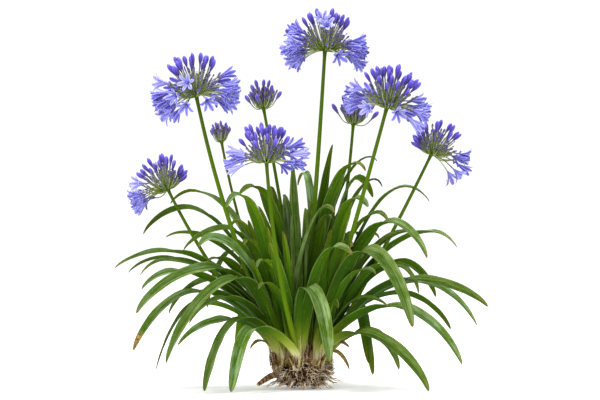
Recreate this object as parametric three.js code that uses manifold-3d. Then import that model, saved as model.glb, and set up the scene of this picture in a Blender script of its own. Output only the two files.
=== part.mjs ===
// A bare-rooted agapanthus clump in flower: a root ball and rhizome, nine leafy shoots, nine flower scapes and
// the umbel that each scape carries.
// Millimetres, +Z up, and -Y is the front. The origin is on the ground, under the middle of the root ball.
import * as THREE from "three";
import { mergeVertices } from "three/addons/utils/BufferGeometryUtils.js";
import Module from "manifold-3d";

const wasm = await Module();
wasm.setup();

// ---------------------------------------------------------------- driving dimensions

const GAP = 0.4; // air between two pieces that touch
const SHOOT_FOOT = 44; // height at which the shoots stand in the root ball
const GOLDEN = 137.508; // degrees from one floret to the next round an umbel

// The root ball is an ellipsoid that tapers below its middle, cut flat where it stands.
const BALL = { x: 4, y: 0, z: 34, rx: 57, ry: 55, rz: 44, lump: 0.06, taper: 0.2, fineness: 3 };
const ROOT = { thick: 2.1, tip: 0.5, sides: 3, lift: 1.2 };
// The old rhizome creeps through the ball, and its broken end sticks out at the left.
const RHIZOME = [
  { at: [26, 6, 24], radius: 8.5 },
  { at: [-14, 4, 27], radius: 9 },
  { at: [-46, -3, 30], radius: 8 },
  { at: [-60, -7, 25], radius: 7.6 },
  { at: [-73, -10, 17], radius: 6.6 },
  { at: [-86, -13, 8], radius: 5 },
];

// The neck is the bundle of leaf bases that clasp each other at the foot of a shoot.
const NECK = [
  { rise: 0, radius: 12.5 },
  { rise: 26, radius: 15.5 },
  { rise: 66, radius: 12.5 },
];
// Where a leaf starts in its neck: a low leaf further out and lower than a high one.
const LEAF_ROOT = { low: { out: 10, rise: 16, crest: 80 }, high: { out: 8.5, rise: 52, crest: 460 } };
const BLADE = { thick: 2.6, baseWidth: 0.3, fullFrom: 0.3, taperFrom: 0.58 };
const CLIMB_STATIONS = [0, 0.4, 0.75, 1]; // shares of the way up to the crest, and of the way down from it
const DROOP_STATIONS = [0.35, 0.65, 0.9];
const LENGTH_STEPS = 20; // how finely a blade's length is measured
// The most that a leaf bows sideways, and the reach from which it does so. A leaf with a shorter reach bows less.
const BOW = { most: 16, reach: 120 };
// A blade goes over from its climbing turn to its drooping turn between these shares of its length about its
// crest. No two leaves turn quite alike.
const TURN_OVER = { before: 0.14, after: 0.06, scatter: 10 };

const BEND_HEIGHT = 0.45; // share of a scape's height at which it bends
const PEDICEL_RADIUS = 0.95;
const BUD = { length: 30, radius: 4.5, belly: 0.6, hang: -0.35 };
const STAR_ROOM = 22; // degrees about a star that no other floret takes
// How much longer the pedicels are on the open side of such an umbel, and how much shorter on the other.
const SIDE_REACH = { open: 0.2, shut: 0.42 };
// An open floret: its tube, the bottom of its throat, the notches between its petals, and their tips.
const FLORET = {
  tube: { length: 16, radius: 3.8 },
  throat: 18,
  notch: { length: 25, radius: 7.5 },
  tip: { length: 40, radius: 18 },
};

// Each shoot's place in the root ball.
const shoots = {
  front: [-4, -43],
  frontLeft: [-34, -26],
  frontRight: [33, -31],
  left: [-43, 8],
  right: [50, 2],
  middle: [3, 0],
  backLeft: [-24, 37],
  backRight: [39, 36],
  back: [8, 45],
};

// Leaves: shoot, tip x, y and z, the share of the way out at which the blade is highest, its height there, its
// width, and how far its upper face turns to the front (+) or the back (-) as it climbs and as it droops, in
// degrees, on a leaf that grows straight to one side.
const leaves = [
  // left, from the highest to the lowest
  ["middle", -120, -30, 390, 0.77, 405, 30, -75, 35],
  ["frontLeft", -146, -90, 365, 0.82, 391, 26, -60, 50],
  ["backLeft", -262, 110, 367, 0.8, 393, 20, 30, -25],
  ["left", -316, 70, 306, 0.68, 360, 22, -30, 38],
  ["backLeft", -274, 190, 296, 0.86, 306, 20, -40, -20],
  ["frontLeft", -232, -40, 278, 0.56, 322, 24, -30, 30],
  ["frontLeft", -200, -95, 288, 0.86, 306, 27, 62, 45],
  ["left", -372, 22, 240, 0.68, 274, 24, -40, 28],
  ["left", -347, 92, 228, 0.75, 259, 20, -30, 25],
  ["backLeft", -326, 170, 219, 0.82, 251, 22, -25, 40],
  ["frontLeft", -323, -120, 157, 0.46, 244, 28, -35, 38],
  ["left", -315, -40, 201, 0.76, 236, 22, -30, 42],
  ["left", -330, -82, 81, 0.55, 196, 26, -35, 38],
  ["left", -291, 108, 31, 0.6, 172, 20, -30, 20],
  ["frontLeft", -262, -190, 63, 0.41, 224, 28, -45, 30],
  ["left", -262, -10, 150, 0.62, 216, 22, -35, 35],
  ["left", -186, -24, 250, 0.88, 262, 22, -50, 35],
  ["frontLeft", -160, -60, 214, 0.86, 226, 22, -40, 30],
  ["frontLeft", -220, -70, 133, 0.62, 184, 24, -40, 25],
  ["left", -212, 30, 158, 0.85, 168, 21, -40, -20],
  ["frontLeft", -240, -120, 94, 0.56, 142, 23, -25, 35],
  ["frontLeft", -188, -150, 5, 0.58, 144, 25, -35, 30],
  ["front", -135, -200, 7, 0.6, 126, 28, -40, 30],
  ["frontLeft", -99, -44, 82, 0.7, 98, 9, 0, 50],
  // upright, in the middle
  ["back", -32, 78, 387, 1, 387, 18, 75, 75],
  ["middle", -20, -10, 486, 1, 486, 28, 78, 78],
  ["back", -14, 58, 440, 1, 440, 24, 75, 75],
  ["back", 66, 44, 489, 1, 489, 23, -60, -60],
  ["frontLeft", 68, -96, 356, 0.8, 366, 22, 55, 45],
  ["front", 103, -124, 273, 0.78, 289, 24, -40, 50],
  // right, from the highest to the lowest
  ["back", 156, 92, 453, 0.88, 462, 18, -20, 10],
  ["middle", 131, 8, 435, 0.84, 451, 28, -75, 45],
  ["backRight", -4, 180, 402, 0.72, 430, 19, 75, 30],
  ["backRight", 166, 96, 401, 0.86, 417, 24, -55, 10],
  ["backRight", 148, 150, 379, 0.72, 419, 24, -60, -60],
  ["right", 260, 40, 373, 0.75, 404, 22, -28, 20],
  ["frontRight", 135, -64, 365, 0.77, 383, 30, -75, 48],
  ["frontRight", 175, -40, 337, 0.86, 353, 22, -30, 35],
  ["right", 253, -34, 262, 0.64, 334, 28, -65, 48],
  ["right", 232, 16, 306, 0.9, 314, 20, 35, 25],
  ["right", 316, 60, 280, 0.81, 312, 22, -50, 20],
  ["frontRight", 221, -170, 132, 0.5, 280, 30, -55, 60],
  ["backRight", 275, 120, 178, 0.7, 249, 22, 15, -40],
  ["right", 238, 40, 189, 0.76, 244, 28, -30, 45],
  ["right", 375, -20, 165, 0.54, 219, 25, -30, 40],
  ["right", 356, 52, 123, 0.61, 212, 20, -25, 28],
  ["right", 196, -26, 232, 0.85, 250, 22, -40, 30],
  ["frontRight", 150, -60, 232, 0.88, 242, 22, -45, 40],
  ["backRight", 305, 118, 112, 0.58, 186, 24, -20, -35],
  ["frontRight", 173, -92, 170, 0.62, 186, 13, 0, 30],
  ["frontRight", 76, -98, 167, 0.6, 178, 16, 0, 40],
  ["frontRight", 321, -92, 53, 0.52, 168, 25, -30, 38],
  ["backRight", 141, 130, 42, 0.72, 160, 26, -30, -65],
  ["frontRight", 253, -150, 5, 0.38, 115, 28, -20, 42],
  ["right", 199, 58, 34, 0.51, 112, 24, -20, 84],
  ["front", 57, -190, 66, 0.14, 206, 32, -20, 20],
  ["right", 98, -12, 83, 0.55, 94, 9, 0, 50],
  ["frontRight", 98, -36, 40, 0.45, 78, 9, 0, 60],
  // steep ones that fill the clump
  ["front", -62, -84, 296, 1, 296, 24, -60, -60],
  ["front", -85, -78, 246, 0.88, 260, 26, -60, 40],
  ["front", -82, -104, 204, 0.85, 216, 18, -30, 40],
  ["middle", -62, 18, 330, 0.9, 338, 26, -72, 30],
  ["middle", -84, 8, 366, 1, 366, 24, -66, -66],
  ["middle", 62, -14, 340, 0.9, 348, 26, -72, 30],
  ["middle", 30, 24, 326, 0.95, 332, 22, 70, 60],
  ["middle", 54, 26, 306, 0.95, 312, 24, 60, 50],
  ["frontLeft", -112, -66, 290, 0.88, 300, 26, -65, 40],
  ["frontLeft", -118, -30, 240, 0.9, 250, 20, 45, 30],
  ["frontRight", 104, -66, 286, 0.88, 296, 26, -65, 40],
  ["left", -160, 14, 290, 0.88, 300, 24, -60, 30],
  ["left", -136, 24, 326, 0.92, 334, 24, -65, -30],
  ["right", 158, 4, 300, 0.88, 310, 24, -60, 30],
  ["right", 132, 24, 262, 0.9, 272, 22, -55, 20],
  ["right", 114, 34, 206, 0.9, 214, 22, -50, 20],
  ["backLeft", -116, 96, 300, 0.88, 310, 24, 40, -30],
  ["backRight", 118, 100, 300, 0.88, 310, 24, 40, -30],
  ["backRight", 92, 60, 350, 0.9, 360, 26, -70, -30],
  // back
  ["backLeft", -190, 240, 150, 0.6, 270, 20, 10, 0],
  ["backLeft", -130, 268, 20, 0.5, 190, 24, 0, 10],
  ["back", -40, 300, 60, 0.5, 230, 24, 0, 0],
  ["back", 0, 180, 5, 0.45, 110, 22, 0, 0],
  ["back", 22, 220, 300, 0.75, 352, 22, 0, 0],
  ["back", 60, 310, 130, 0.55, 262, 22, 0, 0],
  ["backRight", 150, 270, 10, 0.5, 180, 24, 0, 10],
  ["backRight", 210, 225, 178, 0.66, 262, 22, 10, 0],
  // slender ones between them
  ["front", -34, -70, 318, 1, 318, 16, -60, -60],
  ["frontLeft", -66, -60, 326, 1, 326, 18, -60, -60],
  ["frontRight", 62, -60, 322, 1, 322, 18, -60, -60],
  ["middle", -34, 6, 384, 0.95, 388, 18, 70, 60],
  ["middle", 24, -10, 372, 0.95, 376, 16, 70, 60],
  ["frontLeft", -96, -80, 262, 1, 262, 18, -60, -60],
  ["left", -104, 8, 338, 1, 338, 18, -62, -62],
  ["right", 100, -6, 346, 0.93, 352, 18, -65, 20],
  ["backLeft", -60, 60, 396, 0.95, 402, 20, 60, 60],
  ["backRight", 84, 40, 404, 0.93, 410, 20, -60, -30],
  ["back", 100, 200, 250, 0.7, 330, 20, 0, 0],
];

// Umbels: the shoot each scape grows from, the receptacle's place, the share of the scape's lean that it has
// reached at its bend, its radii at foot and head, the number of florets, the widest angle they spread to from
// the axis, the pedicel's length, the florets' size against full size, how far they hang (+) or turn up (-),
// and from which angle they are open. An umbel with an open side opens there first. Stars are the ways of single
// wide-open florets that stand clear of the others. Angles are in degrees.
const umbels = [
  {
    name: "tall", shoot: "middle", at: [50, 30, 678], lean: 0.58, foot: 6.4, head: 3.5,
    florets: 26, spread: 104, pedicel: 47, size: 1, hang: 0.24, openFrom: 48,
    stars: [[0.04, -0.62, 0.78], [0.4, -0.9, -0.02], [-0.06, -0.5, 0.86]],
  },
  {
    name: "upper_left", shoot: "frontLeft", at: [-206, -70, 588], lean: 0.66, foot: 5.8, head: 3.6,
    florets: 26, spread: 106, pedicel: 49, size: 1.02, hang: 0.3, openFrom: 50,
    stars: [[-0.22, -0.8, 0.55], [-0.3, -0.93, -0.12], [-0.6, -0.78, 0.2], [0.36, -0.93, 0.02]],
  },
  {
    name: "upper_right", shoot: "frontRight", at: [172, -90, 564], lean: 0.48, foot: 5.8, head: 3.5,
    florets: 26, spread: 102, pedicel: 49, size: 1, hang: 0.24, openFrom: 60,
    stars: [[-0.56, -0.8, 0.16], [0.3, -0.95, 0]],
  },
  {
    name: "centre", shoot: "front", at: [-66, -150, 457], lean: 0.76, foot: 5.6, head: 3.5,
    florets: 26, spread: 98, pedicel: 43, size: 0.94, hang: 0.16, openFrom: 60,
  },
  {
    name: "far_left", shoot: "left", at: [-266, 60, 398], lean: 0.6, foot: 5, head: 3.1,
    florets: 19, spread: 98, pedicel: 43, size: 0.92, hang: 0.22, openFrom: 50, openSide: 180,
  },
  {
    name: "far_right", shoot: "right", at: [264, 30, 470], lean: 0.5, foot: 5, head: 3.1,
    florets: 19, spread: 104, pedicel: 42, size: 0.92, hang: 0.22, openFrom: 50, openSide: 0,
  },
  {
    name: "young_left", shoot: "back", at: [-74, 130, 561], lean: 0.38, foot: 4.6, head: 3,
    florets: 18, spread: 96, pedicel: 29, size: 0.64, hang: -0.75,
  },
  {
    name: "young_right", shoot: "backRight", at: [108, 120, 529], lean: 0.7, foot: 4.6, head: 3,
    florets: 18, spread: 96, pedicel: 31, size: 0.7, hang: -0.75,
  },
  {
    name: "young_small", shoot: "backLeft", at: [-159, 120, 493], lean: 0.68, foot: 3.7, head: 2.6,
    florets: 15, spread: 76, pedicel: 20, size: 0.45, hang: -1.05,
  },
];

// ---------------------------------------------------------------- materials

const paint = (color, roughness) => new THREE.MeshStandardMaterial({ color, roughness, metalness: 0 });
const soil = paint(0x6b4d36, 0.95);
const bark = paint(0x8a6a48, 0.9);
const leafGreen = paint(0x3f7022, 0.5);
const stemGreen = paint(0x5d7f26, 0.5);
const petalBlue = paint(0x6a66d8, 0.6);

// ---------------------------------------------------------------- helpers

const vec = (p) => new THREE.Vector3(...p);
const mix = THREE.MathUtils.lerp;
const radians = THREE.MathUtils.degToRad;
const UP = vec([0, 0, 1]);

// A repeatable draw from 0 to 1, for item i of set k.
const draw = (i, k) => {
  const s = Math.sin(i * 12.9898 + k * 78.233) * 43758.5453;
  return s - Math.floor(s);
};

// A closed three.js mesh as a solid that can be cut and joined.
function solidOf(geometry) {
  const bare = geometry.clone();
  bare.deleteAttribute("normal");
  bare.deleteAttribute("uv");
  const merged = mergeVertices(bare, 1e-4);
  return new wasm.Manifold(
    new wasm.Mesh({
      numProp: 3,
      vertProperties: merged.getAttribute("position").array,
      triVerts: new Uint32Array(merged.index.array),
    }),
  );
}

const joined = (solids) => solids.reduce((all, next) => all.add(next));

// The largest body of a solid, without the crumbs and sealed pockets that joining and cutting can leave.
const whole = (solid) =>
  solid.decompose().reduce((most, next) => (next.volume() > most.volume() ? next : most));

// A named mesh of a solid.
function meshOf(name, solid, material) {
  const { vertProperties, triVerts } = solid.getMesh();
  const geometry = new THREE.BufferGeometry()
    .setAttribute("position", new THREE.BufferAttribute(vertProperties, 3))
    .setIndex(new THREE.BufferAttribute(triVerts, 1));
  geometry.computeVertexNormals();
  const mesh = new THREE.Mesh(geometry, material);
  mesh.name = name;
  return mesh;
}

// A round of points about an axis, starting on the given side.
function ring(centre, axis, side, radius, count) {
  const u = side.clone().addScaledVector(axis, -side.dot(axis)).normalize();
  const w = axis.clone().cross(u);
  return Array.from({ length: count }, (_, i) => {
    const a = (2 * Math.PI * i) / count;
    return centre.clone().addScaledVector(u, radius * Math.cos(a)).addScaledVector(w, radius * Math.sin(a));
  });
}

const middleOf = (points) =>
  points.reduce((sum, point) => sum.add(point), new THREE.Vector3()).divideScalar(points.length);

// A solid skinned over rings that run counter-clockwise about its length. The next ring may have as many
// points, twice as many, or one. Each four-sided face is split along the diagonal that bulges outwards, so that
// the two faces of a twisted blade never cross.
function loft(rings) {
  const points = rings.flat();
  const middles = rings.map((ring) => middleOf(ring));
  const faces = [];
  let start = 0;
  rings.slice(1).forEach((next, k) => {
    const n = rings[k].length;
    const m = next.length;
    const from = (i) => start + (i % n);
    const to = (i) => start + n + (i % m);
    const inside = middleOf([middles[k], middles[k + 1]]);
    const leansOut = (i) => {
      const one = middleOf([points[from(i)], points[to(i + 1)]]);
      const other = middleOf([points[from(i + 1)], points[to(i)]]);
      return middleOf([one, other]).sub(inside).dot(one.sub(other)) >= 0;
    };
    for (let i = 0; i < n; i++) {
      if (m === 1) faces.push(from(i), from(i + 1), to(0));
      else if (m === 2 * n) {
        faces.push(from(i), to(2 * i + 1), to(2 * i));
        faces.push(from(i), from(i + 1), to(2 * i + 1));
        faces.push(from(i + 1), to(2 * i + 2), to(2 * i + 1));
      } else if (leansOut(i)) {
        faces.push(from(i), from(i + 1), to(i + 1));
        faces.push(from(i), to(i + 1), to(i));
      } else {
        faces.push(from(i), from(i + 1), to(i));
        faces.push(from(i + 1), to(i + 1), to(i));
      }
    }
    start += n;
  });
  const cap = (first, count, turned) => {
    for (let i = 1; i + 1 < count; i++) {
      faces.push(first, first + i + (turned ? 1 : 0), first + i + (turned ? 0 : 1));
    }
  };
  cap(0, rings[0].length, true);
  cap(start, rings.at(-1).length, false);
  const geometry = new THREE.BufferGeometry().setFromPoints(points);
  return solidOf(geometry.setIndex(faces));
}

// A rod through points [{ at: Vector3, radius }], with its sections square to the way it runs, grown on all
// sides by swell.
function rod(stations, count, swell = 0) {
  const last = stations.length - 1;
  const rings = stations.map(({ at, radius }, i) => {
    const before = stations[Math.max(i - 1, 0)].at;
    const after = stations[Math.min(i + 1, last)].at;
    const axis = after.clone().sub(before).normalize();
    const side = Math.abs(axis.x) < 0.8 ? vec([1, 0, 0]) : vec([0, 1, 0]);
    const push = i === 0 ? -swell : i === last ? swell : 0;
    return ring(at.clone().addScaledVector(axis, push), axis, side, radius + swell, count);
  });
  return loft(rings);
}

// ---------------------------------------------------------------- leaves

const shootFoot = (name) => vec([...shoots[name], SHOOT_FOOT]);

// A leaf's midrib: it climbs out of the neck, arches over at its crest and droops to its tip.
function midrib([shoot, tipX, tipY, tipZ, crestShare, crestZ], index) {
  const foot = shootFoot(shoot);
  const way = vec([tipX - foot.x, tipY - foot.y, 0]);
  const bow = BOW.most * Math.min(1, way.length() / BOW.reach) * (2 * draw(index, 1) - 1);
  way.normalize();
  const across = vec([-way.y, way.x, 0]);
  const { low, high } = LEAF_ROOT;
  const height = (crestZ - low.crest) / (high.crest - low.crest);
  const root = foot
    .clone()
    .addScaledVector(way, mix(low.out, high.out, height))
    .addScaledVector(UP, mix(low.rise, high.rise, height));
  const at = (share, z) =>
    vec([mix(root.x, tipX, share), mix(root.y, tipY, share), z]).addScaledVector(
      across,
      bow * Math.sin(Math.PI * share),
    );
  const up = (share) => mix(root.z, crestZ, share);
  if (crestShare === 1) {
    return [
      new THREE.CubicBezierCurve3(root, at(0.12, up(0.25)), at(0.3, up(0.45)), at(0.5, up(0.62))),
      new THREE.CubicBezierCurve3(at(0.5, up(0.62)), at(0.7, up(0.79)), at(0.85, up(0.9)), at(1, tipZ)),
    ];
  }
  const crest = at(crestShare, crestZ);
  const past = (share, z) => at(mix(crestShare, 1, share), z);
  const down = (share) => mix(crestZ, tipZ, share);
  return [
    new THREE.CubicBezierCurve3(root, at(0.22 * crestShare, up(0.62)), at(0.62 * crestShare, crestZ), crest),
    new THREE.CubicBezierCurve3(crest, past(0.42, crestZ), past(0.84, down(0.55)), at(1, tipZ)),
  ];
}

// The share of its full width that a blade has at a share of its length.
function bladeWidth(u) {
  const { baseWidth, fullFrom, taperFrom } = BLADE;
  const grown = mix(baseWidth, 1, THREE.MathUtils.smoothstep(u, 0, fullFrom));
  const taper = u < taperFrom ? 1 : Math.sqrt(1 - ((u - taperFrom) / (1 - taperFrom)) ** 2);
  return grown * taper;
}

// The stations of a blade: their places, the way it runs there and their shares of its length.
function bladeStations([climb, droop]) {
  const whole = climb.getLength() + droop.getLength();
  const station = (curve, before) => (t) => ({
    at: curve.getPoint(t),
    way: curve.getTangent(t),
    u: (before + curve.getLengths(LENGTH_STEPS)[Math.round(LENGTH_STEPS * t)]) / whole,
  });
  return [
    ...CLIMB_STATIONS.map(station(climb, 0)),
    ...DROOP_STATIONS.map(station(droop, climb.getLength())),
  ];
}

// A blade is flat above and keeled below, and twists as it arches.
function blade(leaf, index) {
  const [shoot, tipX, tipY] = leaf;
  const [width, climbTurn, droopTurn] = leaf.slice(-3);
  const curves = midrib(leaf, index);
  const [climb, droop] = curves.map((curve) => curve.getLength());
  const crest = climb / (climb + droop);
  const sideways = vec([tipX - shoots[shoot][0], tipY - shoots[shoot][1], 0]).normalize().x;
  const scatter = TURN_OVER.scatter * (2 * draw(index, 2) - 1);
  const rings = bladeStations(curves).map(({ at, way, u }) => {
    const over = THREE.MathUtils.smoothstep(u, crest - TURN_OVER.before, crest + TURN_OVER.after);
    const facing = sideways * mix(climbTurn, droopTurn, over) + scatter;
    const right = way.clone().cross(UP).normalize().applyAxisAngle(way, radians(facing));
    const down = way.clone().cross(right);
    const half = (width * bladeWidth(u)) / 2;
    const keel = BLADE.thick * Math.min(1, half / 5);
    return [
      at.clone().addScaledVector(right, half),
      at.clone().addScaledVector(down, keel),
      at.clone().addScaledVector(right, -half),
    ];
  });
  return loft([...rings, [curves[1].getPoint(1)]]);
}

function neck(name, swell) {
  const foot = shootFoot(name);
  const stations = NECK.map(({ rise, radius }) => ({ at: foot.clone().addScaledVector(UP, rise), radius }));
  return rod(stations, 6, swell);
}

// ---------------------------------------------------------------- scapes and umbels

// A scape leans out to its umbel. With a lean over BEND_HEIGHT it leans most at its foot.
function scapePath({ shoot, at, lean }) {
  const foot = shootFoot(shoot).addScaledVector(UP, NECK[1].rise);
  const head = vec(at);
  const bend = foot.clone().lerp(head, lean).setZ(mix(foot.z, head.z, BEND_HEIGHT));
  return new THREE.QuadraticBezierCurve3(foot, bend, head);
}

const RECEPTACLE = [
  { rise: -6, share: 1 },
  { rise: 0, share: 1.9 },
  { rise: 4.5, share: 1.3 },
];

function scape(umbel, swell) {
  const path = scapePath(umbel);
  const steps = 5;
  const end = 1 - (GAP - RECEPTACLE[0].rise) / path.getLength();
  const stations = Array.from({ length: steps + 1 }, (_, i) => ({
    at: path.getPointAt((end * i) / steps),
    radius: mix(umbel.foot, umbel.head, i / steps),
  }));
  return rod(stations, 6, swell);
}

// The ways the florets point: evenly spread over the umbel's dome, with a little scatter, and the stars.
function floretWays(umbel, k) {
  const lean = new THREE.Quaternion().setFromUnitVectors(UP, scapePath(umbel).getTangentAt(1));
  const lowest = Math.cos(radians(umbel.spread));
  const stars = (umbel.stars ?? []).map((star) => ({ stage: "open", polar: Math.PI / 2, way: vec(star).normalize() }));
  const spiral = Array.from({ length: umbel.florets }, (_, i) => {
    const polar = Math.acos(1 - ((1 - lowest) * (i + 0.5)) / umbel.florets) + radians(7 * (draw(i, k) - 0.5));
    const turn = radians(GOLDEN * i + 12 * (draw(i, k + 20) - 0.5) + 40 * k);
    const around = new THREE.Vector3().setFromSphericalCoords(1, polar, turn);
    const way = vec([around.z, around.x, around.y]).applyQuaternion(lean);
    return { stage: stageOf(umbel, polar, way), polar, way };
  });
  return [...stars, ...spiral.filter(({ stage }) => stage)];
}

// What a way carries: an open floret, a bud, or nothing round a star and low down before the scape.
function stageOf(umbel, polar, way) {
  if (umbel.stars?.some((star) => way.angleTo(vec(star)) < radians(STAR_ROOM))) return null;
  if (!umbel.openFrom) return "bud";
  const low = polar > radians(umbel.openFrom);
  if (low && way.y < -0.45 && Math.abs(way.x) < 0.75) return null;
  if (way.z < 0.3 && Math.abs(way.x) < 0.5) return null;
  if (!low) return "bud";
  if (umbel.openSide === undefined) return "open";
  const side = vec([Math.cos(radians(umbel.openSide)), Math.sin(radians(umbel.openSide)), 0]);
  return way.dot(side) > 0.6 ? "open" : "bud";
}

// The share of its length that a pedicel has: on an umbel with an open side, more there and less on the other.
function sideReach(umbel, way) {
  if (umbel.openSide === undefined) return 1;
  const toSide = way.x * Math.cos(radians(umbel.openSide)) + way.y * Math.sin(radians(umbel.openSide));
  return 1 + (toSide > 0 ? SIDE_REACH.open : SIDE_REACH.shut) * toSide;
}

// A pedicel with its bud or open floret, which bends a little further than the pedicel does.
function floret(umbel, { stage, polar, way }, reach) {
  const bend = (stage === "open" ? umbel.hang : Math.min(umbel.hang, BUD.hang)) * Math.sin(polar);
  const stalkWay = way.clone().addScaledVector(UP, -0.5 * bend).normalize();
  const axis = way.clone().addScaledVector(UP, -1.6 * bend).normalize();
  const side = Math.abs(way.z) < 0.9 ? UP.clone() : vec([1, 0, 0]);
  const start = vec(umbel.at).addScaledVector(way, 3.2);
  const end = start.clone().addScaledVector(stalkWay, reach);
  const along = (length, radius, count) =>
    ring(end.clone().addScaledVector(axis, length * umbel.size), axis, side, radius, count);
  const stalk = [
    ring(start, stalkWay, side, PEDICEL_RADIUS, 3),
    ring(end, axis, side, PEDICEL_RADIUS * 1.15, 3),
  ];
  if (stage === "bud") {
    const plump = BUD.radius * Math.sqrt(umbel.size);
    return loft([...stalk, along(BUD.length * BUD.belly, plump, 6), along(BUD.length, 0, 1)]);
  }
  const { tube, throat, notch, tip } = FLORET;
  const notches = along(notch.length, notch.radius, 12);
  const rim = along(tip.length, tip.radius, 12).map((point, j) => (j % 2 ? notches[j] : point));
  return loft([...stalk, along(tube.length, tube.radius, 6), rim, along(throat, 0, 1)]);
}

function umbelHead(umbel, k) {
  const axis = scapePath(umbel).getTangentAt(1);
  const stations = RECEPTACLE.map(({ rise, share }) => ({
    at: vec(umbel.at).addScaledVector(axis, rise),
    radius: umbel.head * share,
  }));
  const florets = floretWays(umbel, k).map((floretWay, i) =>
    floret(umbel, floretWay, umbel.pedicel * mix(0.93, 1.07, draw(i, k + 40)) * sideReach(umbel, floretWay.way)),
  );
  return joined([rod(stations, 6), ...florets]);
}

// ---------------------------------------------------------------- rhizome and roots

const rhizome = (swell) => rod(RHIZOME.map(({ at, radius }) => ({ at: vec(at), radius })), 8, swell);

// The lumpy mass of matted roots and the soil that clings to it, flat where it stands.
function rootMass() {
  const geometry = new THREE.IcosahedronGeometry(1, BALL.fineness);
  const points = geometry.getAttribute("position");
  const p = new THREE.Vector3();
  for (let i = 0; i < points.count; i++) {
    p.fromBufferAttribute(points, i);
    const swell = 1 + BALL.lump * (Math.sin(7 * p.x + 3 * p.z) + Math.sin(6 * p.y - 4 * p.z + 1));
    const taper = 1 + BALL.taper * Math.min(0, p.z);
    points.setXYZ(
      i,
      BALL.x + BALL.rx * p.x * swell * taper,
      BALL.y + BALL.ry * p.y * swell * taper,
      Math.max(0, BALL.z + BALL.rz * p.z * swell),
    );
  }
  return solidOf(geometry);
}

// Loose root ends: turn round the ball in degrees, the reach of the tip from the middle, and its height.
const looseRoots = [
  [355, 84, 13], [326, 78, 3], [300, 72, 5], [272, 70, 2], [248, 72, 4], [222, 76, 2], [170, 80, 3],
  [140, 76, 9], [112, 74, 2], [84, 76, 4], [56, 78, 3], [28, 80, 8], [338, 82, 28], [285, 76, 24],
  [235, 76, 26], [120, 78, 28], [60, 80, 26],
];

function rootEnd([turn, reach, height]) {
  const way = vec([Math.cos(radians(turn)), Math.sin(radians(turn)), 0]);
  const from = vec([BALL.x, BALL.y, 0]);
  const at = (out, z) => from.clone().addScaledVector(way, out).setZ(z);
  return rod(
    [
      { at: at(0.6 * reach, height + 12), radius: ROOT.thick },
      { at: at(reach, Math.max(height, ROOT.lift)), radius: ROOT.tip },
    ],
    ROOT.sides,
  );
}

function rootBall() {
  const holes = joined([rhizome(GAP), ...Object.keys(shoots).map((name) => neck(name, GAP))]);
  return joined([rootMass(), ...looseRoots.map(rootEnd)]).subtract(holes);
}

// ---------------------------------------------------------------- the plant

const plant = new THREE.Group();
const snake = (name) => name.replace(/[A-Z]/g, (c) => "_" + c.toLowerCase());

plant.add(meshOf("root_ball", whole(rootBall()), soil));
plant.add(meshOf("rhizome", rhizome(), bark));

for (const name of Object.keys(shoots)) {
  const blades = leaves.map((leaf, i) => (leaf[0] === name ? blade(leaf, i) : null)).filter(Boolean);
  const scapeHole = scape(umbels.find((umbel) => umbel.shoot === name), GAP);
  const fan = joined([neck(name), ...blades]).subtract(scapeHole);
  plant.add(meshOf(`leaves_${snake(name)}`, whole(fan), leafGreen));
}

umbels.forEach((umbel, k) => {
  plant.add(meshOf(`scape_${umbel.name}`, scape(umbel), stemGreen));
  plant.add(meshOf(`umbel_${umbel.name}`, whole(umbelHead(umbel, k)), petalBlue));
});

export default plant;
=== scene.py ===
# %% [markdown]
# # An agapanthus in flower, lifted with its bare roots
# This notebook dresses a plant whose plain solids are already packed: a root ball, a rhizome, nine fans of
# strap leaves, nine flower scapes and nine umbels. The solids fix every size and place. Each cell below grows
# a finer piece over one of them: real gutter-shaped leaves, six-petalled florets on fine pedicels, buds, and
# a mat of root fibres. Sizes are written in millimetres and turned to metres when a mesh is made.

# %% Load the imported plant
import math

import bmesh
import bpy
import numpy as np
from mathutils import Matrix, Vector, noise


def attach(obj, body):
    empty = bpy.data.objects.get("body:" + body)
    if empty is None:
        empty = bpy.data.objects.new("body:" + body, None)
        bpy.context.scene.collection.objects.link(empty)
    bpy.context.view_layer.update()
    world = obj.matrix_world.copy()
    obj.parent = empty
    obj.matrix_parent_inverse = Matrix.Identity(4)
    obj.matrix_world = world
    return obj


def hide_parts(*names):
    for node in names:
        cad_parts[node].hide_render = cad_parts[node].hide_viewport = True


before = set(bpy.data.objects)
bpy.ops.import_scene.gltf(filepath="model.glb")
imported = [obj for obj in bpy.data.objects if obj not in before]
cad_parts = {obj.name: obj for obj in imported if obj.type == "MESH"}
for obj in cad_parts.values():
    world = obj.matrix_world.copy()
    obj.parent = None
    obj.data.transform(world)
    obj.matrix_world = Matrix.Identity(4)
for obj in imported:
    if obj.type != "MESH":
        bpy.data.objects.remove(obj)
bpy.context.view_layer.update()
MM = 0.001

# %% [markdown]
# The camera comes first, because everything is judged through it. A long lens from nine metres keeps the tall
# flowers from leaning, and it looks down only slightly, so that the underside of the umbels still shows.

# %% Camera
CAMERA_DISTANCE = 9.0
CAMERA_RISE = math.radians(1.5)
AIM = Vector((0, 0, 0.378))
SENSOR_WIDTH = 36.0
VIEW_WIDTH = 1.2  # metres across the picture at the plant


def make_camera():
    data = bpy.data.cameras.new("camera")
    data.sensor_width = SENSOR_WIDTH
    data.lens = SENSOR_WIDTH * CAMERA_DISTANCE / VIEW_WIDTH
    camera = bpy.data.objects.new("camera", data)
    back = Vector((0, -math.cos(CAMERA_RISE), math.sin(CAMERA_RISE)))
    camera.location = AIM + CAMERA_DISTANCE * back
    camera.rotation_euler = (-back).to_track_quat("-Z", "Y").to_euler()
    bpy.context.scene.collection.objects.link(camera)
    bpy.context.scene.camera = camera
    return camera


camera = make_camera()
print("lens", round(camera.data.lens), "mm")

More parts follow.
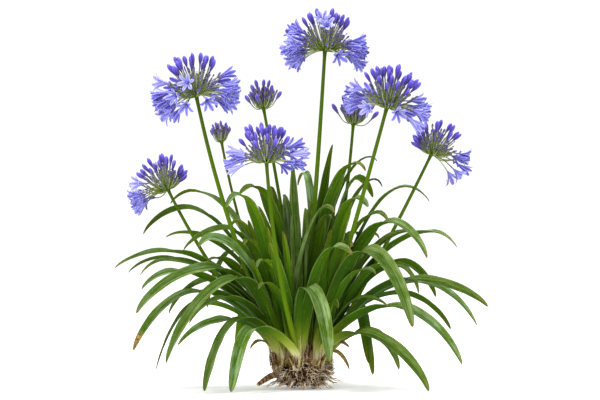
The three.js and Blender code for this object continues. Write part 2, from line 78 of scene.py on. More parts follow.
# %% [markdown]
# Nodes, for shapes and for finishes alike, are easier to read as function calls. This helper adds one node,
# sets its options, and fills or links each of its inputs by name or number.

# %% A helper for nodes


def add(tree, kind, inputs=None, **options):
    node = tree.nodes.new(kind)
    for name, value in options.items():
        setattr(node, name, value)
    for key, value in (inputs or {}).items():
        if isinstance(key, int):
            socket = node.inputs[key]
        else:
            socket = next(s for s in node.inputs if s.name == key and s.enabled)
        if isinstance(value, bpy.types.Node):
            value = next(s for s in value.outputs if s.enabled)
        if isinstance(value, bpy.types.NodeSocket):
            tree.links.new(value, socket)
        else:
            socket.default_value = value
    return node


def color(code, alpha=1.0):
    """A linear colour from a hex code as it looks on screen."""
    parts = [int(code[i : i + 2], 16) / 255 for i in (1, 3, 5)]
    return (*[v / 12.92 if v <= 0.04045 else ((v + 0.055) / 1.055) ** 2.4 for v in parts], alpha)


print("mid grey as a linear colour:", [round(v, 3) for v in color("#808080")])


# %% [markdown]
# A finish is a node material around one Principled shader. Most of the plant's colours run along a piece,
# from a leaf's white foot to its dry tip, or across it, from midrib to margin. So every piece carries the
# numbers `along` and `across` on its points, and the finishes read those.

# %% Helpers for finishes


def finish(name, roughness, gloss=0.5):
    material = bpy.data.materials.new(name)
    material.use_nodes = True
    tree = material.node_tree
    shader = tree.nodes["Principled BSDF"]
    shader.inputs["Roughness"].default_value = roughness
    shader.inputs["Specular IOR Level"].default_value = gloss
    return material, tree, shader


def readings(tree, names):
    """Numbers that the piece carries on its points."""
    return [add(tree, "ShaderNodeAttribute", attribute_name=name).outputs["Fac"] for name in names.split()]


def ramp(tree, value, stops):
    node = add(tree, "ShaderNodeValToRGB", {"Fac": value})
    points = node.color_ramp.elements
    while len(points) < len(stops):
        points.new(0.5)
    for point, (place, code) in zip(points, stops):
        point.position = place
        point.color = color(code)
    return node.outputs["Color"]


def sums(tree, operation, a, b=0.0, c=0.0):
    return add(tree, "ShaderNodeMath", {0: a, 1: b, 2: c}, operation=operation).outputs[0]


def times(tree, a, b):
    return sums(tree, "MULTIPLY", a, b)


def scaled(tree, a, factor, more):
    return sums(tree, "MULTIPLY_ADD", a, factor, more)


def between(tree, value, low, high, start=0.0, end=1.0):
    """Goes from start to end while the value goes from low to high, and stays there."""
    limits = {"From Min": low, "From Max": high, "To Min": start, "To Max": end}
    return add(tree, "ShaderNodeMapRange", {"Value": value, **limits}).outputs[0]


print("helpers for finishes:", finish.__name__, ramp.__name__, between.__name__)

# %% [markdown]
# Colours are laid over each other like paint: each mark has a share, which says how much of it there is at a
# point, and a colour. Noise in the plant's own space breaks them up, and the same noise gives a fine relief.

# %% Helpers for painting


def blend(tree, share, a, b):
    """Colour a with a share of colour b. A mix node's inputs 6 and 7 are its two colours."""
    node = add(tree, "ShaderNodeMix", data_type="RGBA")
    for socket, value in zip((node.inputs[0], node.inputs[6], node.inputs[7]), (share, a, b)):
        if isinstance(value, bpy.types.NodeSocket):
            tree.links.new(value, socket)
        else:
            socket.default_value = value
    return node.outputs[2]


def paint(tree, skin, marks):
    for share, code in marks:
        skin = blend(tree, share, skin, color(code))
    return skin


def shaded(tree, skin, number, least, more):
    """Each leaf or floret is a little lighter or darker, by a number of its own."""
    value = scaled(tree, number, more, least)
    return add(tree, "ShaderNodeHueSaturation", {"Color": skin, "Value": value}).outputs[0]


def speckle(tree, size, detail=3.0, stretch=(1, 1, 1)):
    """Noise in the plant's own space, with features of about size metres."""
    place = add(tree, "ShaderNodeTexCoord").outputs["Object"]
    place = add(tree, "ShaderNodeMapping", {"Vector": place, "Scale": stretch})
    noise_inputs = {"Vector": place, "Scale": 1 / size, "Detail": detail}
    return add(tree, "ShaderNodeTexNoise", noise_inputs).outputs["Fac"]


def dress(tree, shader, skin, height, depth):
    """Gives the shader its colour, and a relief that is depth metres deep."""
    tree.links.new(skin, shader.inputs["Base Color"])
    bump = add(tree, "ShaderNodeBump", {"Height": height, "Distance": depth, "Strength": 1.0})
    tree.links.new(bump.outputs["Normal"], shader.inputs["Normal"])


print("helpers for painting:", paint.__name__, speckle.__name__, dress.__name__)

# %% [markdown]
# Leaves: whitish where they clasp each other, then fresh yellow-green, then a dark satin green that turns
# yellow and brown at the very tip. The upper face has a bluish bloom, and fine parallel veins run the whole
# length. Shade is painted on too: one half of the blade is painted darker, a painted shadow lies in the
# crease between the halves, and a painted highlight runs pale along the margins.

# %% Colours of a leaf
UPPER_FACE = [(0, "#8fa01e"), (0.18, "#6c8818"), (0.4, "#53700e"), (0.9, "#587512"), (0.99, "#828c26")]
UNDER_FACE = [(0, "#7f9612"), (0.18, "#507204"), (0.4, "#2c4a00"), (0.66, "#3c5e00"), (0.86, "#577602"),
              (0.99, "#767f18")]
BLOOM = [(0.35, "#93a765"), (0.95, "#8ba578")]
SHEATH_SKIN = [(0.34, "#d9cba6"), (0.42, "#c9c492"), (0.5, "#a2a64c"), (0.64, "#7c8e1c")]
DRY_TIP = [(0.3, "#54401c"), (0.5, "#86703a"), (0.7, "#b8a466")]
VEINS = 46.0  # radians of fine veins between midrib and margin


def leaf_streaks(tree, along, across, seed):
    """Streaks are drawn on a leaf's own numbers: slow along it, quick across it, and new on each leaf."""
    place = {"X": times(tree, along, 7.0), "Y": times(tree, across, 5.0), "Z": times(tree, seed, 40.0)}
    place = add(tree, "ShaderNodeCombineXYZ", place)
    streaks = {"Vector": place, "Scale": 1.0, "Detail": 5.0, "Roughness": 0.7}
    return add(tree, "ShaderNodeTexNoise", streaks).outputs["Fac"]


def leaf_bloom(tree, along, under, seed, streak):
    """Bloom lies in patches on the upper face of a grown blade, and some leaves have more of it."""
    patches = scaled(tree, speckle(tree, 0.03, 4.0), 0.5, times(tree, streak, 0.5))
    grown = between(tree, along, 0.2, 0.6)
    bloom = times(tree, between(tree, patches, 0.42, 0.58, start=0.05), grown)
    bloom = times(tree, bloom, between(tree, seed, 0.05, 0.6, start=0.15, end=0.95))
    return times(tree, bloom, sums(tree, "SUBTRACT", 1.0, under))


def leaf_marks_and_painted_light(tree, across, streak, vein):
    edge = sums(tree, "ABSOLUTE", across)
    return [
        (between(tree, streak, 0.52, 0.38, end=0.65), "#264a00"),  # dark streaks
        # painted shade: one half of the blade is darker
        (between(tree, across, -0.08, 0.08, end=0.5), "#2a4c02"),  # the darker half
        # painted shadow in the crease between the halves
        (between(tree, edge, 0.03, 0.14, start=0.5, end=0.0), "#1f3d02"),  # the crease
        # painted highlight along the margin
        (between(tree, edge, 0.84, 1.0, end=0.55), "#a4bd62"),  # the pale margin
        (between(tree, speckle(tree, 0.005, 2.0), 0.63, 0.76, end=0.25), "#a3ab6e"),  # flecks
        (scaled(tree, vein, 0.1, 0.1), "#22440a"),  # veins
    ]


print(len(UPPER_FACE), "colours along a leaf's upper face and", len(UNDER_FACE), "along its back")

# %% [markdown]
# Two things go by place. The sheaths are cream where they stand in the soil and yellow-green above it, so
# their colour reads the height. The dry tip eats further into a leaf whose `dry` number is higher, with a
# ragged edge.

# %% Leaf finish


def sheath_skin(tree, along, streak):
    """How much of the sheath's colour a point has, and the colour."""
    place = add(tree, "ShaderNodeTexCoord").outputs["Object"]
    height = add(tree, "ShaderNodeSeparateXYZ", {"Vector": place}).outputs["Z"]
    height = scaled(tree, streak, 0.03, height)
    share = times(tree, between(tree, height, 0.16, 0.08), between(tree, along, 0.45, 0.2))
    return share, ramp(tree, times(tree, height, 5.0), SHEATH_SKIN)


def withered(tree, along, dry):
    front = sums(tree, "SUBTRACT", 1.004, times(tree, dry, 0.1))
    ragged = sums(tree, "ADD", scaled(tree, speckle(tree, 0.006), 0.03, -0.015), along)
    return between(tree, ragged, front, sums(tree, "ADD", front, 0.02))


def make_leaf_finish():
    material, tree, shader = finish("leaf_skin", roughness=0.5, gloss=0.05)
    along, across, under, seed, dry = readings(tree, "along across under seed dry")
    streak = leaf_streaks(tree, along, across, seed)
    vein = sums(tree, "SINE", times(tree, across, VEINS))
    skin = blend(tree, under, ramp(tree, along, UPPER_FACE), ramp(tree, along, UNDER_FACE))
    skin = blend(tree, leaf_bloom(tree, along, under, seed, streak), skin, ramp(tree, seed, BLOOM))
    skin = paint(tree, skin, leaf_marks_and_painted_light(tree, across, streak, vein))
    share, sheath = sheath_skin(tree, along, streak)
    skin = shaded(tree, blend(tree, share, skin, sheath), seed, least=0.76, more=0.45)
    skin = blend(tree, withered(tree, along, dry), skin, ramp(tree, speckle(tree, 0.004), DRY_TIP))
    tree.links.new(scaled(tree, speckle(tree, 0.02), 0.25, 0.42), shader.inputs["Roughness"])
    dress(tree, shader, skin, scaled(tree, vein, 0.3, streak), depth=0.0004)
    return material


leaf_skin = make_leaf_finish()
print("finish", leaf_skin.name, "with", len(leaf_skin.node_tree.nodes), "nodes")

# %% [markdown]
# Scapes and pedicels: a smooth round green stalk. The pedicels go from green at the receptacle to the greyed
# blue of the floret that each one carries, and some of them are paler than the others.

# %% Stalk finishes
SCAPE_SKIN = [(0, "#86981c"), (0.12, "#688208"), (0.35, "#527202"), (0.75, "#4a6602"), (1, "#42580a")]
PEDICEL_SKIN = [(0, "#4f6804"), (0.22, "#6f8820"), (0.52, "#84904c"), (0.8, "#767868"), (1, "#4d4690")]


def make_stalk_finish(name, stops):
    material, tree, shader = finish(name, roughness=0.55, gloss=0.06)
    along, seed = readings(tree, "along seed")
    streak = speckle(tree, 0.004, detail=4.0, stretch=(1, 1, 0.06))
    pale = between(tree, seed, 0.55, 1.0, end=0.6)
    skin = paint(tree, ramp(tree, along, stops), [(times(tree, streak, 0.4), "#2f4a04"), (pale, "#b9bfa0")])
    dress(tree, shader, skin, streak, depth=0.0002)
    return material


scape_skin = make_stalk_finish("scape_skin", SCAPE_SKIN)
pedicel_skin = make_stalk_finish("pedicel_skin", PEDICEL_SKIN)
print("finishes", scape_skin.name, pedicel_skin.name)

# %% [markdown]
# Petals are periwinkle blue with a pale margin and a darker line down the middle, and paler inside than
# outside. A bud is a deeper violet-blue that is lightest at its tip, and greenish while it is young. Pale
# stripes round a bud are a painted highlight along its ridges.

# %% Petal, bud and stamen finishes
PETAL_OUTSIDE = [(0, "#3b2f78"), (0.22, "#3c3296"), (0.5, "#564fba"), (0.8, "#6c68cc"), (1, "#8380dc")]
PETAL_INSIDE = [(0, "#8481bc"), (0.3, "#7e7bca"), (0.6, "#7b79d6"), (1, "#7370d0")]
RIPE_BUD = [(0, "#4a4a4c"), (0.15, "#322256"), (0.4, "#37267e"), (0.75, "#4737a4"), (1, "#6a5fce")]
YOUNG_BUD = [(0, "#7c8c2e"), (0.42, "#7c7a42"), (0.66, "#665870"), (0.88, "#4c3e88"), (1, "#5a4ea0")]
STAMEN = [(0, "#c9c6f4"), (0.82, "#b9b2ee"), (0.88, "#6d6a58"), (1, "#8f8a5c")]


def make_petal_finish():
    material, tree, shader = finish("petal", roughness=0.55, gloss=0.25)
    along, across, inside, tone = readings(tree, "along across inside tone")
    edge = sums(tree, "ABSOLUTE", across)
    pale = between(tree, tone, 0.6, 1.0, end=0.65)
    stripe = times(tree, between(tree, edge, 0.05, 0.32, start=1.0, end=0.0), scaled(tree, pale, -0.5, 0.9))
    margin = between(tree, edge, 0.55, 1.0, end=0.7)
    skin = blend(tree, inside, ramp(tree, along, PETAL_OUTSIDE), ramp(tree, along, PETAL_INSIDE))
    skin = paint(tree, skin, [(pale, "#c3c2f8"), (stripe, "#3d359e"), (margin, "#bcbbf2")])
    skin = shaded(tree, skin, tone, least=0.82, more=0.32)
    dress(tree, shader, skin, speckle(tree, 0.0015, 2.0), depth=0.0002)
    return material


def make_bud_finish():
    material, tree, shader = finish("bud", roughness=0.45, gloss=0.3)
    along, across, tone, young = readings(tree, "along across tone young")
    # Pale stripes round the bud: a painted highlight along its ridges.
    painted_ridge_highlight = sums(tree, "SINE", times(tree, across, 6 * math.pi))
    painted_ridge_highlight = times(tree, scaled(tree, painted_ridge_highlight, 0.14, 0.14), sums(tree, "SUBTRACT", 1.0, young))
    skin = blend(tree, young, ramp(tree, along, RIPE_BUD), ramp(tree, along, YOUNG_BUD))
    skin = shaded(tree, paint(tree, skin, [(painted_ridge_highlight, "#8478e8")]), tone, least=0.8, more=0.35)
    dress(tree, shader, skin, speckle(tree, 0.002, 2.0), depth=0.0002)
    return material


def make_stamen_finish():
    material, tree, shader = finish("stamen", roughness=0.5)
    skin = ramp(tree, *readings(tree, "along"), STAMEN)
    dress(tree, shader, skin, speckle(tree, 0.001, 2.0), depth=0.0001)
    return material


petal, bud, stamen = make_petal_finish(), make_bud_finish(), make_stamen_finish()
print("finishes", petal.name, bud.name, stamen.name)

# %% [markdown]
# Roots: a dark crumbly core, and tan to brown fibres over it. The old rhizome has bark with dark rings and a
# pale broken end, and the shoots' feet keep some brown scales of dead leaves.

# %% Root finishes
SOIL = [(0.2, "#0d0400"), (0.5, "#1f0f03"), (0.8, "#40260f")]
FIBRE = [(0.2, "#220f04"), (0.38, "#5c3c1e"), (0.54, "#ae8c60"), (0.72, "#fbeed6")]
DEAD_SCALE = [(0.1, "#4a3018"), (0.4, "#80612f"), (0.65, "#b09a5c"), (0.9, "#d9cf9e")]
BARK = [(0.2, "#4a2f1d"), (0.45, "#7d5a3c"), (0.65, "#a98359"), (0.85, "#c8a67a")]
BARK_RINGS = 90.0  # radians of dark rings along the rhizome


def make_root_finish(name, stops, grain, depth):
    material, tree, shader = finish(name, roughness=0.9, gloss=0.08)
    tone = scaled(tree, *readings(tree, "tone"), 0.6, times(tree, speckle(tree, grain), 0.4))
    dress(tree, shader, ramp(tree, tone, stops), speckle(tree, grain / 3), depth)
    return material


def make_bark_finish():
    material, tree, shader = finish("rhizome_bark", roughness=0.85)
    [along] = readings(tree, "along")
    rings = sums(tree, "SINE", scaled(tree, along, BARK_RINGS, times(tree, speckle(tree, 0.012), 14.0)))
    grain = scaled(tree, rings, 0.2, speckle(tree, 0.004))
    skin = paint(tree, ramp(tree, grain, BARK), [(between(tree, along, 0.965, 0.99), "#cdbd7c")])
    dress(tree, shader, skin, grain, depth=0.0008)
    return material


soil = make_root_finish("soil", SOIL, grain=0.006, depth=0.002)
fibre = make_root_finish("root_fibre", FIBRE, grain=0.004, depth=0.0006)
scale_bark = make_root_finish("dead_scale", DEAD_SCALE, grain=0.003, depth=0.0005)
bark = make_bark_finish()
print("finishes", soil.name, fibre.name, scale_bark.name, bark.name)

# %% [markdown]
# Leaves, stalks and roots are all lines that are swept with a section. Their middle lines are worked out in
# Python and kept as a mesh of loose edges, each point carrying its numbers: how far along it is, how thick
# the sweep is there, how far its section is rolled. One Geometry Nodes tree then sweeps them all.

# %% Middle lines


def write_numbers(mesh, columns):
    """Gives the mesh's points their numbers, one list for each name."""
    for key, values in columns.items():
        mesh.attributes.new(key, "FLOAT", "POINT").data.foreach_set("value", values)


def line(points, girth, along=None, **numbers):
    """Points in millimetres and their numbers. girth is the sweep's radius there, or half a leaf's width."""
    along = np.linspace(0, 1, len(points)) if along is None else along
    return points, {"along": along, "girth": np.asarray(girth) * MM, "roll": 0.0, "seed": 0.0, **numbers}


def line_mesh(name, lines):
    """Loose edges through each line's points, with one value or one a point for each of its numbers."""
    edges, start = [], 0
    for points, _ in lines:
        edges += [(start + i, start + i + 1) for i in range(len(points) - 1)]
        start += len(points)
    mesh = bpy.data.meshes.new(name)
    mesh.from_pydata((np.concatenate([points for points, _ in lines]) * MM).tolist(), edges, [])
    for key in lines[0][1]:
        values = [np.broadcast_to(np.asarray(numbers[key], float), len(points)) for points, numbers in lines]
        write_numbers(mesh, {key: np.concatenate(values)})
    return mesh


def even(points, share):
    """The same line with a point at each share of its length, or with that many points evenly far apart."""
    steps = np.linalg.norm(np.diff(points, axis=0), axis=1)
    reach = np.concatenate([[0], np.cumsum(steps)])
    share = np.linspace(0, 1, share) if isinstance(share, int) else share
    even_points = np.stack([np.interp(share * reach[-1], reach, points[:, k]) for k in range(3)], axis=1)
    return even_points, share


def bezier(*handles, count=24):
    """Points on a quadratic or cubic Bezier curve."""
    t = np.linspace(0, 1, count)[:, None]
    degree = len(handles) - 1
    shares = [math.comb(degree, k) * (1 - t) ** (degree - k) * t**k for k in range(degree + 1)]
    return sum(share * np.asarray(handle, float) for share, handle in zip(shares, handles))


def draw(i, k):
    """A repeatable draw from 0 to 1, for item i of set k."""
    s = math.sin(i * 12.9898 + k * 78.233) * 43758.5453
    return s - math.floor(s)


print("a draw:", round(draw(1, 1), 4))

# %% [markdown]
# The sweep tree. It turns the edges to curves, stands their sections upright, rolls and sizes them by the
# points' numbers, and sweeps the section along. A leaf is more than a sweep: its margins lift into a gutter
# that is deep at the foot and shallow at the tip, and they wave a little. Both are moves along the leaf's own
# upward direction, which the tree stores on the curve before it sweeps.

# %% Helpers for trees


def named(tree, name, kind="FLOAT"):
    return add(tree, "GeometryNodeInputNamedAttribute", {"Name": name}, data_type=kind).outputs["Attribute"]


def new_tree(name, sizes):
    """A Geometry Nodes tree with a geometry going in and out, and named inputs for its sizes."""
    tree = bpy.data.node_groups.new(name, "GeometryNodeTree")
    tree.interface.new_socket("Geometry", in_out="INPUT", socket_type="NodeSocketGeometry")
    for label, (kind, value) in sizes.items():
        socket = tree.interface.new_socket(label, in_out="INPUT", socket_type=kind)
        if value is not None:
            socket.default_value = value
    tree.interface.new_socket("Geometry", in_out="OUTPUT", socket_type="NodeSocketGeometry")
    return tree, add(tree, "NodeGroupInput"), add(tree, "NodeGroupOutput")


print("helpers for trees:", named.__name__, new_tree.__name__)

# %% [markdown]
# The margins rise in step with how far out they are, as in a strap with a soft fold, and a slow noise along
# each leaf makes them wave. The lift is in half-widths of the leaf, so the girth multiplies it at the end.

# %% The sweep tree
MERGE = 0.00003  # metres: joins a sweep's end caps to its sides, and closes a leaf's fine tip


def margin_lift(tree, gutter, wave):
    along, across = named(tree, "along"), named(tree, "across")
    out = sums(tree, "ABSOLUTE", across)
    foot = between(tree, along, 0.0, 0.35, start=1.9)
    rise = times(tree, times(tree, sums(tree, "POWER", out, 1.05), foot), gutter)
    seed = named(tree, "seed")
    place = {"X": times(tree, along, 9.0), "Y": times(tree, seed, 50.0), "Z": times(tree, across, 0.8)}
    place = add(tree, "ShaderNodeCombineXYZ", place)
    ripple = add(tree, "ShaderNodeTexNoise", {"Vector": place, "Scale": 1.0, "Detail": 1.0}).outputs["Fac"]
    ripple = times(tree, times(tree, sums(tree, "SUBTRACT", ripple, 0.5), wave), out)
    return times(tree, sums(tree, "ADD", rise, ripple), named(tree, "girth"))


def swept(tree, lines, section):
    """The lines as curves with their own upward direction, swept with the section."""
    curve = add(tree, "GeometryNodeMeshToCurve", {"Mesh": lines})
    curve = add(tree, "GeometryNodeSetCurveNormal", {"Curve": curve}, mode="Z_UP")
    curve = add(tree, "GeometryNodeSetCurveTilt", {"Curve": curve, "Tilt": named(tree, "roll")})
    normal, tangent = add(tree, "GeometryNodeInputNormal"), add(tree, "GeometryNodeInputTangent")
    upward = add(tree, "ShaderNodeVectorMath", {0: normal, 1: tangent}, operation="CROSS_PRODUCT")
    keep = {"Geometry": curve, "Name": "upward", "Value": upward}
    curve = add(tree, "GeometryNodeStoreNamedAttribute", keep, data_type="FLOAT_VECTOR", domain="POINT")
    section = add(tree, "GeometryNodeObjectInfo", {"Object": section}).outputs["Geometry"]
    section = add(tree, "GeometryNodeMeshToCurve", {"Mesh": section})
    sizes = {"Scale": named(tree, "girth"), "Fill Caps": True}
    return add(tree, "GeometryNodeCurveToMesh", {"Curve": curve, "Profile Curve": section, **sizes})


def sweep_tree():
    number = ("NodeSocketFloat", 0.0)
    sizes = {"Section": ("NodeSocketObject", None), "Gutter": number, "Wave": number}
    tree, given, result = new_tree("sweep", {**sizes, "Finish": ("NodeSocketMaterial", None)})
    mesh = swept(tree, given.outputs["Geometry"], given.outputs["Section"])
    lift = margin_lift(tree, given.outputs["Gutter"], given.outputs["Wave"])
    upward = named(tree, "upward", "FLOAT_VECTOR")
    offset = add(tree, "ShaderNodeVectorMath", {0: upward, "Scale": lift}, operation="SCALE")
    mesh = add(tree, "GeometryNodeSetPosition", {"Geometry": mesh, "Offset": offset})
    mesh = add(tree, "GeometryNodeMergeByDistance", {"Geometry": mesh, "Distance": MERGE})
    mesh = add(tree, "GeometryNodeSetShadeSmooth", {"Geometry": mesh})
    mesh = add(tree, "GeometryNodeRealizeInstances", {"Geometry": mesh})
    mesh = add(tree, "GeometryNodeSetMaterial", {"Geometry": mesh, "Material": given.outputs["Finish"]})
    tree.links.new(mesh.outputs[0], result.inputs["Geometry"])
    return tree


sweep = sweep_tree()
print("tree", sweep.name, "with", len(sweep.nodes), "nodes")

# %% [markdown]
# Two sections: a leaf's, which is a thin lens with a groove above and a keel below, and a round one for
# stalks and roots. Both are closed loops of edges one unit in half-width.

# %% Sections and growing


def section(name, points, numbers):
    mesh = bpy.data.meshes.new(name)
    count = len(points)
    mesh.from_pydata([(x, y, 0) for x, y in points], [(i, (i + 1) % count) for i in range(count)], [])
    write_numbers(mesh, numbers)
    return bpy.data.objects.new(name, mesh)


def blade_section():
    spans = [1, 0.8, 0.45, 0.1, 0, -0.1, -0.45, -0.8, -1]
    above = [(x, -0.035 * (1 - x * x) if x else 0.0) for x in spans]
    below = [(x, 0.03 + 0.07 * (1 - abs(x)) ** 1.5) for x in reversed(spans[1:-1])]
    numbers = {"across": [x for x, _ in above + below], "under": [0.0] * len(above) + [1.0] * len(below)}
    return section("blade_section", above + below, numbers)


def round_section(count):
    turns = [2 * math.pi * i / count for i in range(count)]
    return section(f"round_section_{count}", [(math.cos(a), math.sin(a)) for a in turns], {})


def grow(name, source, tree, **inputs):
    """Runs a tree on a mesh and keeps what it makes as a plain mesh object."""
    raw = bpy.data.objects.new(name + "_raw", source)
    bpy.context.scene.collection.objects.link(raw)
    modifier = raw.modifiers.new("grow", "NODES")
    modifier.node_group = tree
    for item in tree.interface.items_tree:
        if item.in_out == "INPUT" and item.name in inputs:
            modifier[item.identifier] = inputs[item.name]
    mesh = bpy.data.meshes.new_from_object(raw.evaluated_get(bpy.context.evaluated_depsgraph_get()))
    raw.modifiers.remove(modifier)
    bpy.data.objects.remove(raw)
    piece = bpy.data.objects.new(name, mesh)
    mesh.name = name
    bpy.context.scene.collection.objects.link(piece)
    return piece


blade, round_pedicel = blade_section(), round_section(5)


def settle(piece, node):
    """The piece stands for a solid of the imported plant, and moves with it."""
    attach(piece, "root")
    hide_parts(node)
    piece.data.calc_loop_triangles()
    print(piece.name, len(piece.data.loop_triangles), "triangles")


print("sections of", len(blade.data.vertices), "and", len(round_pedicel.data.vertices), "points")

# %% [markdown]
# ## The leaves
# A shoot is a neck of leaf bases that clasp each other, and the blades arch out of it. A blade's middle line
# climbs to its crest and droops to its tip. The table below is the plant's habit: for each leaf its shoot,
# its tip, the share of the way out at which it is highest, its height there, its width, and how far its upper
# face turns to the front (+) or the back (-) as it climbs and as it droops, in degrees.

# %% The habit of the leaves
SHOOTS = {
    "front": (-4, -43),
    "front_left": (-34, -26),
    "front_right": (33, -31),
    "left": (-43, 8),
    "right": (50, 2),
    "middle": (3, 0),
    "back_left": (-24, 37),
    "back_right": (39, 36),
    "back": (8, 45),
}
SHOOT_FOOT = 44
LEAVES = [
    # left, from the highest to the lowest
    ("middle", -120, -30, 390, 0.77, 405, 30, -75, 35),
    ("front_left", -146, -90, 365, 0.82, 391, 26, -60, 50),
    ("back_left", -262, 110, 367, 0.8, 393, 20, 30, -25),
    ("left", -316, 70, 306, 0.68, 360, 22, -30, 38),
    ("back_left", -274, 190, 296, 0.86, 306, 20, -40, -20),
    ("front_left", -232, -40, 278, 0.56, 322, 24, -30, 30),
    ("front_left", -200, -95, 288, 0.86, 306, 27, 62, 45),
    ("left", -372, 22, 240, 0.68, 274, 24, -40, 28),
    ("left", -347, 92, 228, 0.75, 259, 20, -30, 25),
    ("back_left", -326, 170, 219, 0.82, 251, 22, -25, 40),
    ("front_left", -323, -120, 157, 0.46, 244, 28, -35, 38),
    ("left", -315, -40, 201, 0.76, 236, 22, -30, 42),
    ("left", -330, -82, 81, 0.55, 196, 26, -35, 38),
    ("left", -291, 108, 31, 0.6, 172, 20, -30, 20),
    ("front_left", -262, -190, 63, 0.41, 224, 28, -45, 30),
    ("left", -262, -10, 150, 0.62, 216, 22, -35, 35),
    ("left", -186, -24, 250, 0.88, 262, 22, -50, 35),
    ("front_left", -160, -60, 214, 0.86, 226, 22, -40, 30),
    ("front_left", -220, -70, 133, 0.62, 184, 24, -40, 25),
    ("left", -212, 30, 158, 0.85, 168, 21, -40, -20),
    ("front_left", -240, -120, 94, 0.56, 142, 23, -25, 35),
    ("front_left", -188, -150, 5, 0.58, 144, 25, -35, 30),
    ("front", -135, -200, 7, 0.6, 126, 28, -40, 30),
    ("front_left", -99, -44, 82, 0.7, 98, 9, 0, 50),
    # upright, in the middle
    ("back", -32, 78, 387, 1, 387, 18, 75, 75),
    ("middle", -20, -10, 486, 1, 486, 28, 78, 78),
    ("back", -14, 58, 440, 1, 440, 24, 75, 75),
    ("back", 66, 44, 489, 1, 489, 23, -60, -60),
    ("front_left", 68, -96, 356, 0.8, 366, 22, 55, 45),
    ("front", 103, -124, 273, 0.78, 289, 24, -40, 50),
    # right, from the highest to the lowest
    ("back", 156, 92, 453, 0.88, 462, 18, -20, 10),
    ("middle", 131, 8, 435, 0.84, 451, 28, -75, 45),
    ("back_right", -4, 180, 402, 0.72, 430, 19, 75, 30),
    ("back_right", 166, 96, 401, 0.86, 417, 24, -55, 10),
    ("back_right", 148, 150, 379, 0.72, 419, 24, -60, -60),
    ("right", 260, 40, 373, 0.75, 404, 22, -28, 20),
    ("front_right", 135, -64, 365, 0.77, 383, 30, -75, 48),
    ("front_right", 175, -40, 337, 0.86, 353, 22, -30, 35),
    ("right", 253, -34, 262, 0.64, 334, 28, -65, 48),
    ("right", 232, 16, 306, 0.9, 314, 20, 35, 25),
    ("right", 316, 60, 280, 0.81, 312, 22, -50, 20),
    ("front_right", 221, -170, 132, 0.5, 280, 30, -55, 60),
    ("back_right", 275, 120, 178, 0.7, 249, 22, 15, -40),
    ("right", 238, 40, 189, 0.76, 244, 28, -30, 45),
    ("right", 375, -20, 165, 0.54, 219, 25, -30, 40),
    ("right", 356, 52, 123, 0.61, 212, 20, -25, 28),
    ("right", 196, -26, 232, 0.85, 250, 22, -40, 30),
    ("front_right", 150, -60, 232, 0.88, 242, 22, -45, 40),
    ("back_right", 305, 118, 112, 0.58, 186, 24, -20, -35),
    ("front_right", 173, -92, 170, 0.62, 186, 13, 0, 30),
    ("front_right", 76, -98, 167, 0.6, 178, 16, 0, 40),
    ("front_right", 321, -92, 53, 0.52, 168, 25, -30, 38),
    ("back_right", 141, 130, 42, 0.72, 160, 26, -30, -65),
    ("front_right", 253, -150, 5, 0.38, 115, 28, -20, 42),
    ("right", 199, 58, 34, 0.51, 112, 24, -20, 84),
    ("front", 57, -190, 66, 0.14, 206, 32, -20, 20),
    ("right", 98, -12, 83, 0.55, 94, 9, 0, 50),
    ("front_right", 98, -36, 40, 0.45, 78, 9, 0, 60),
    # steep ones that fill the clump
    ("front", -62, -84, 296, 1, 296, 24, -60, -60),
    ("front", -85, -78, 246, 0.88, 260, 26, -60, 40),
    ("front", -82, -104, 204, 0.85, 216, 18, -30, 40),
    ("middle", -62, 18, 330, 0.9, 338, 26, -72, 30),
    ("middle", -84, 8, 366, 1, 366, 24, -66, -66),
    ("middle", 62, -14, 340, 0.9, 348, 26, -72, 30),
    ("middle", 30, 24, 326, 0.95, 332, 22, 70, 60),
    ("middle", 54, 26, 306, 0.95, 312, 24, 60, 50),
    ("front_left", -112, -66, 290, 0.88, 300, 26, -65, 40),
    ("front_left", -118, -30, 240, 0.9, 250, 20, 45, 30),
    ("front_right", 104, -66, 286, 0.88, 296, 26, -65, 40),
    ("left", -160, 14, 290, 0.88, 300, 24, -60, 30),
    ("left", -136, 24, 326, 0.92, 334, 24, -65, -30),
    ("right", 158, 4, 300, 0.88, 310, 24, -60, 30),
    ("right", 132, 24, 262, 0.9, 272, 22, -55, 20),
    ("right", 114, 34, 206, 0.9, 214, 22, -50, 20),
    ("back_left", -116, 96, 300, 0.88, 310, 24, 40, -30),
    ("back_right", 118, 100, 300, 0.88, 310, 24, 40, -30),
    ("back_right", 92, 60, 350, 0.9, 360, 26, -70, -30),
    # back
    ("back_left", -190, 240, 150, 0.6, 270, 20, 10, 0),
    ("back_left", -130, 268, 20, 0.5, 190, 24, 0, 10),
    ("back", -40, 300, 60, 0.5, 230, 24, 0, 0),
    ("back", 0, 180, 5, 0.45, 110, 22, 0, 0),
    ("back", 22, 220, 300, 0.75, 352, 22, 0, 0),
    ("back", 60, 310, 130, 0.55, 262, 22, 0, 0),
    ("back_right", 150, 270, 10, 0.5, 180, 24, 0, 10),
    ("back_right", 210, 225, 178, 0.66, 262, 22, 10, 0),
    # slender ones between them
    ("front", -34, -70, 318, 1, 318, 16, -60, -60),
    ("front_left", -66, -60, 326, 1, 326, 18, -60, -60),
    ("front_right", 62, -60, 322, 1, 322, 18, -60, -60),
    ("middle", -34, 6, 384, 0.95, 388, 18, 70, 60),
    ("middle", 24, -10, 372, 0.95, 376, 16, 70, 60),
    ("front_left", -96, -80, 262, 1, 262, 18, -60, -60),
    ("left", -104, 8, 338, 1, 338, 18, -62, -62),
    ("right", 100, -6, 346, 0.93, 352, 18, -65, 20),
    ("back_left", -60, 60, 396, 0.95, 402, 20, 60, 60),
    ("back_right", 84, 40, 404, 0.93, 410, 20, -60, -30),
    ("back", 100, 200, 250, 0.7, 330, 20, 0, 0),
]
DRY = {12: 1.0, 23: 6.0, 56: 4.0, 57: 9.0}  # a leaf with a torn brown tip, and three that have withered
print(len(LEAVES), "leaves on", len(SHOOTS), "shoots")

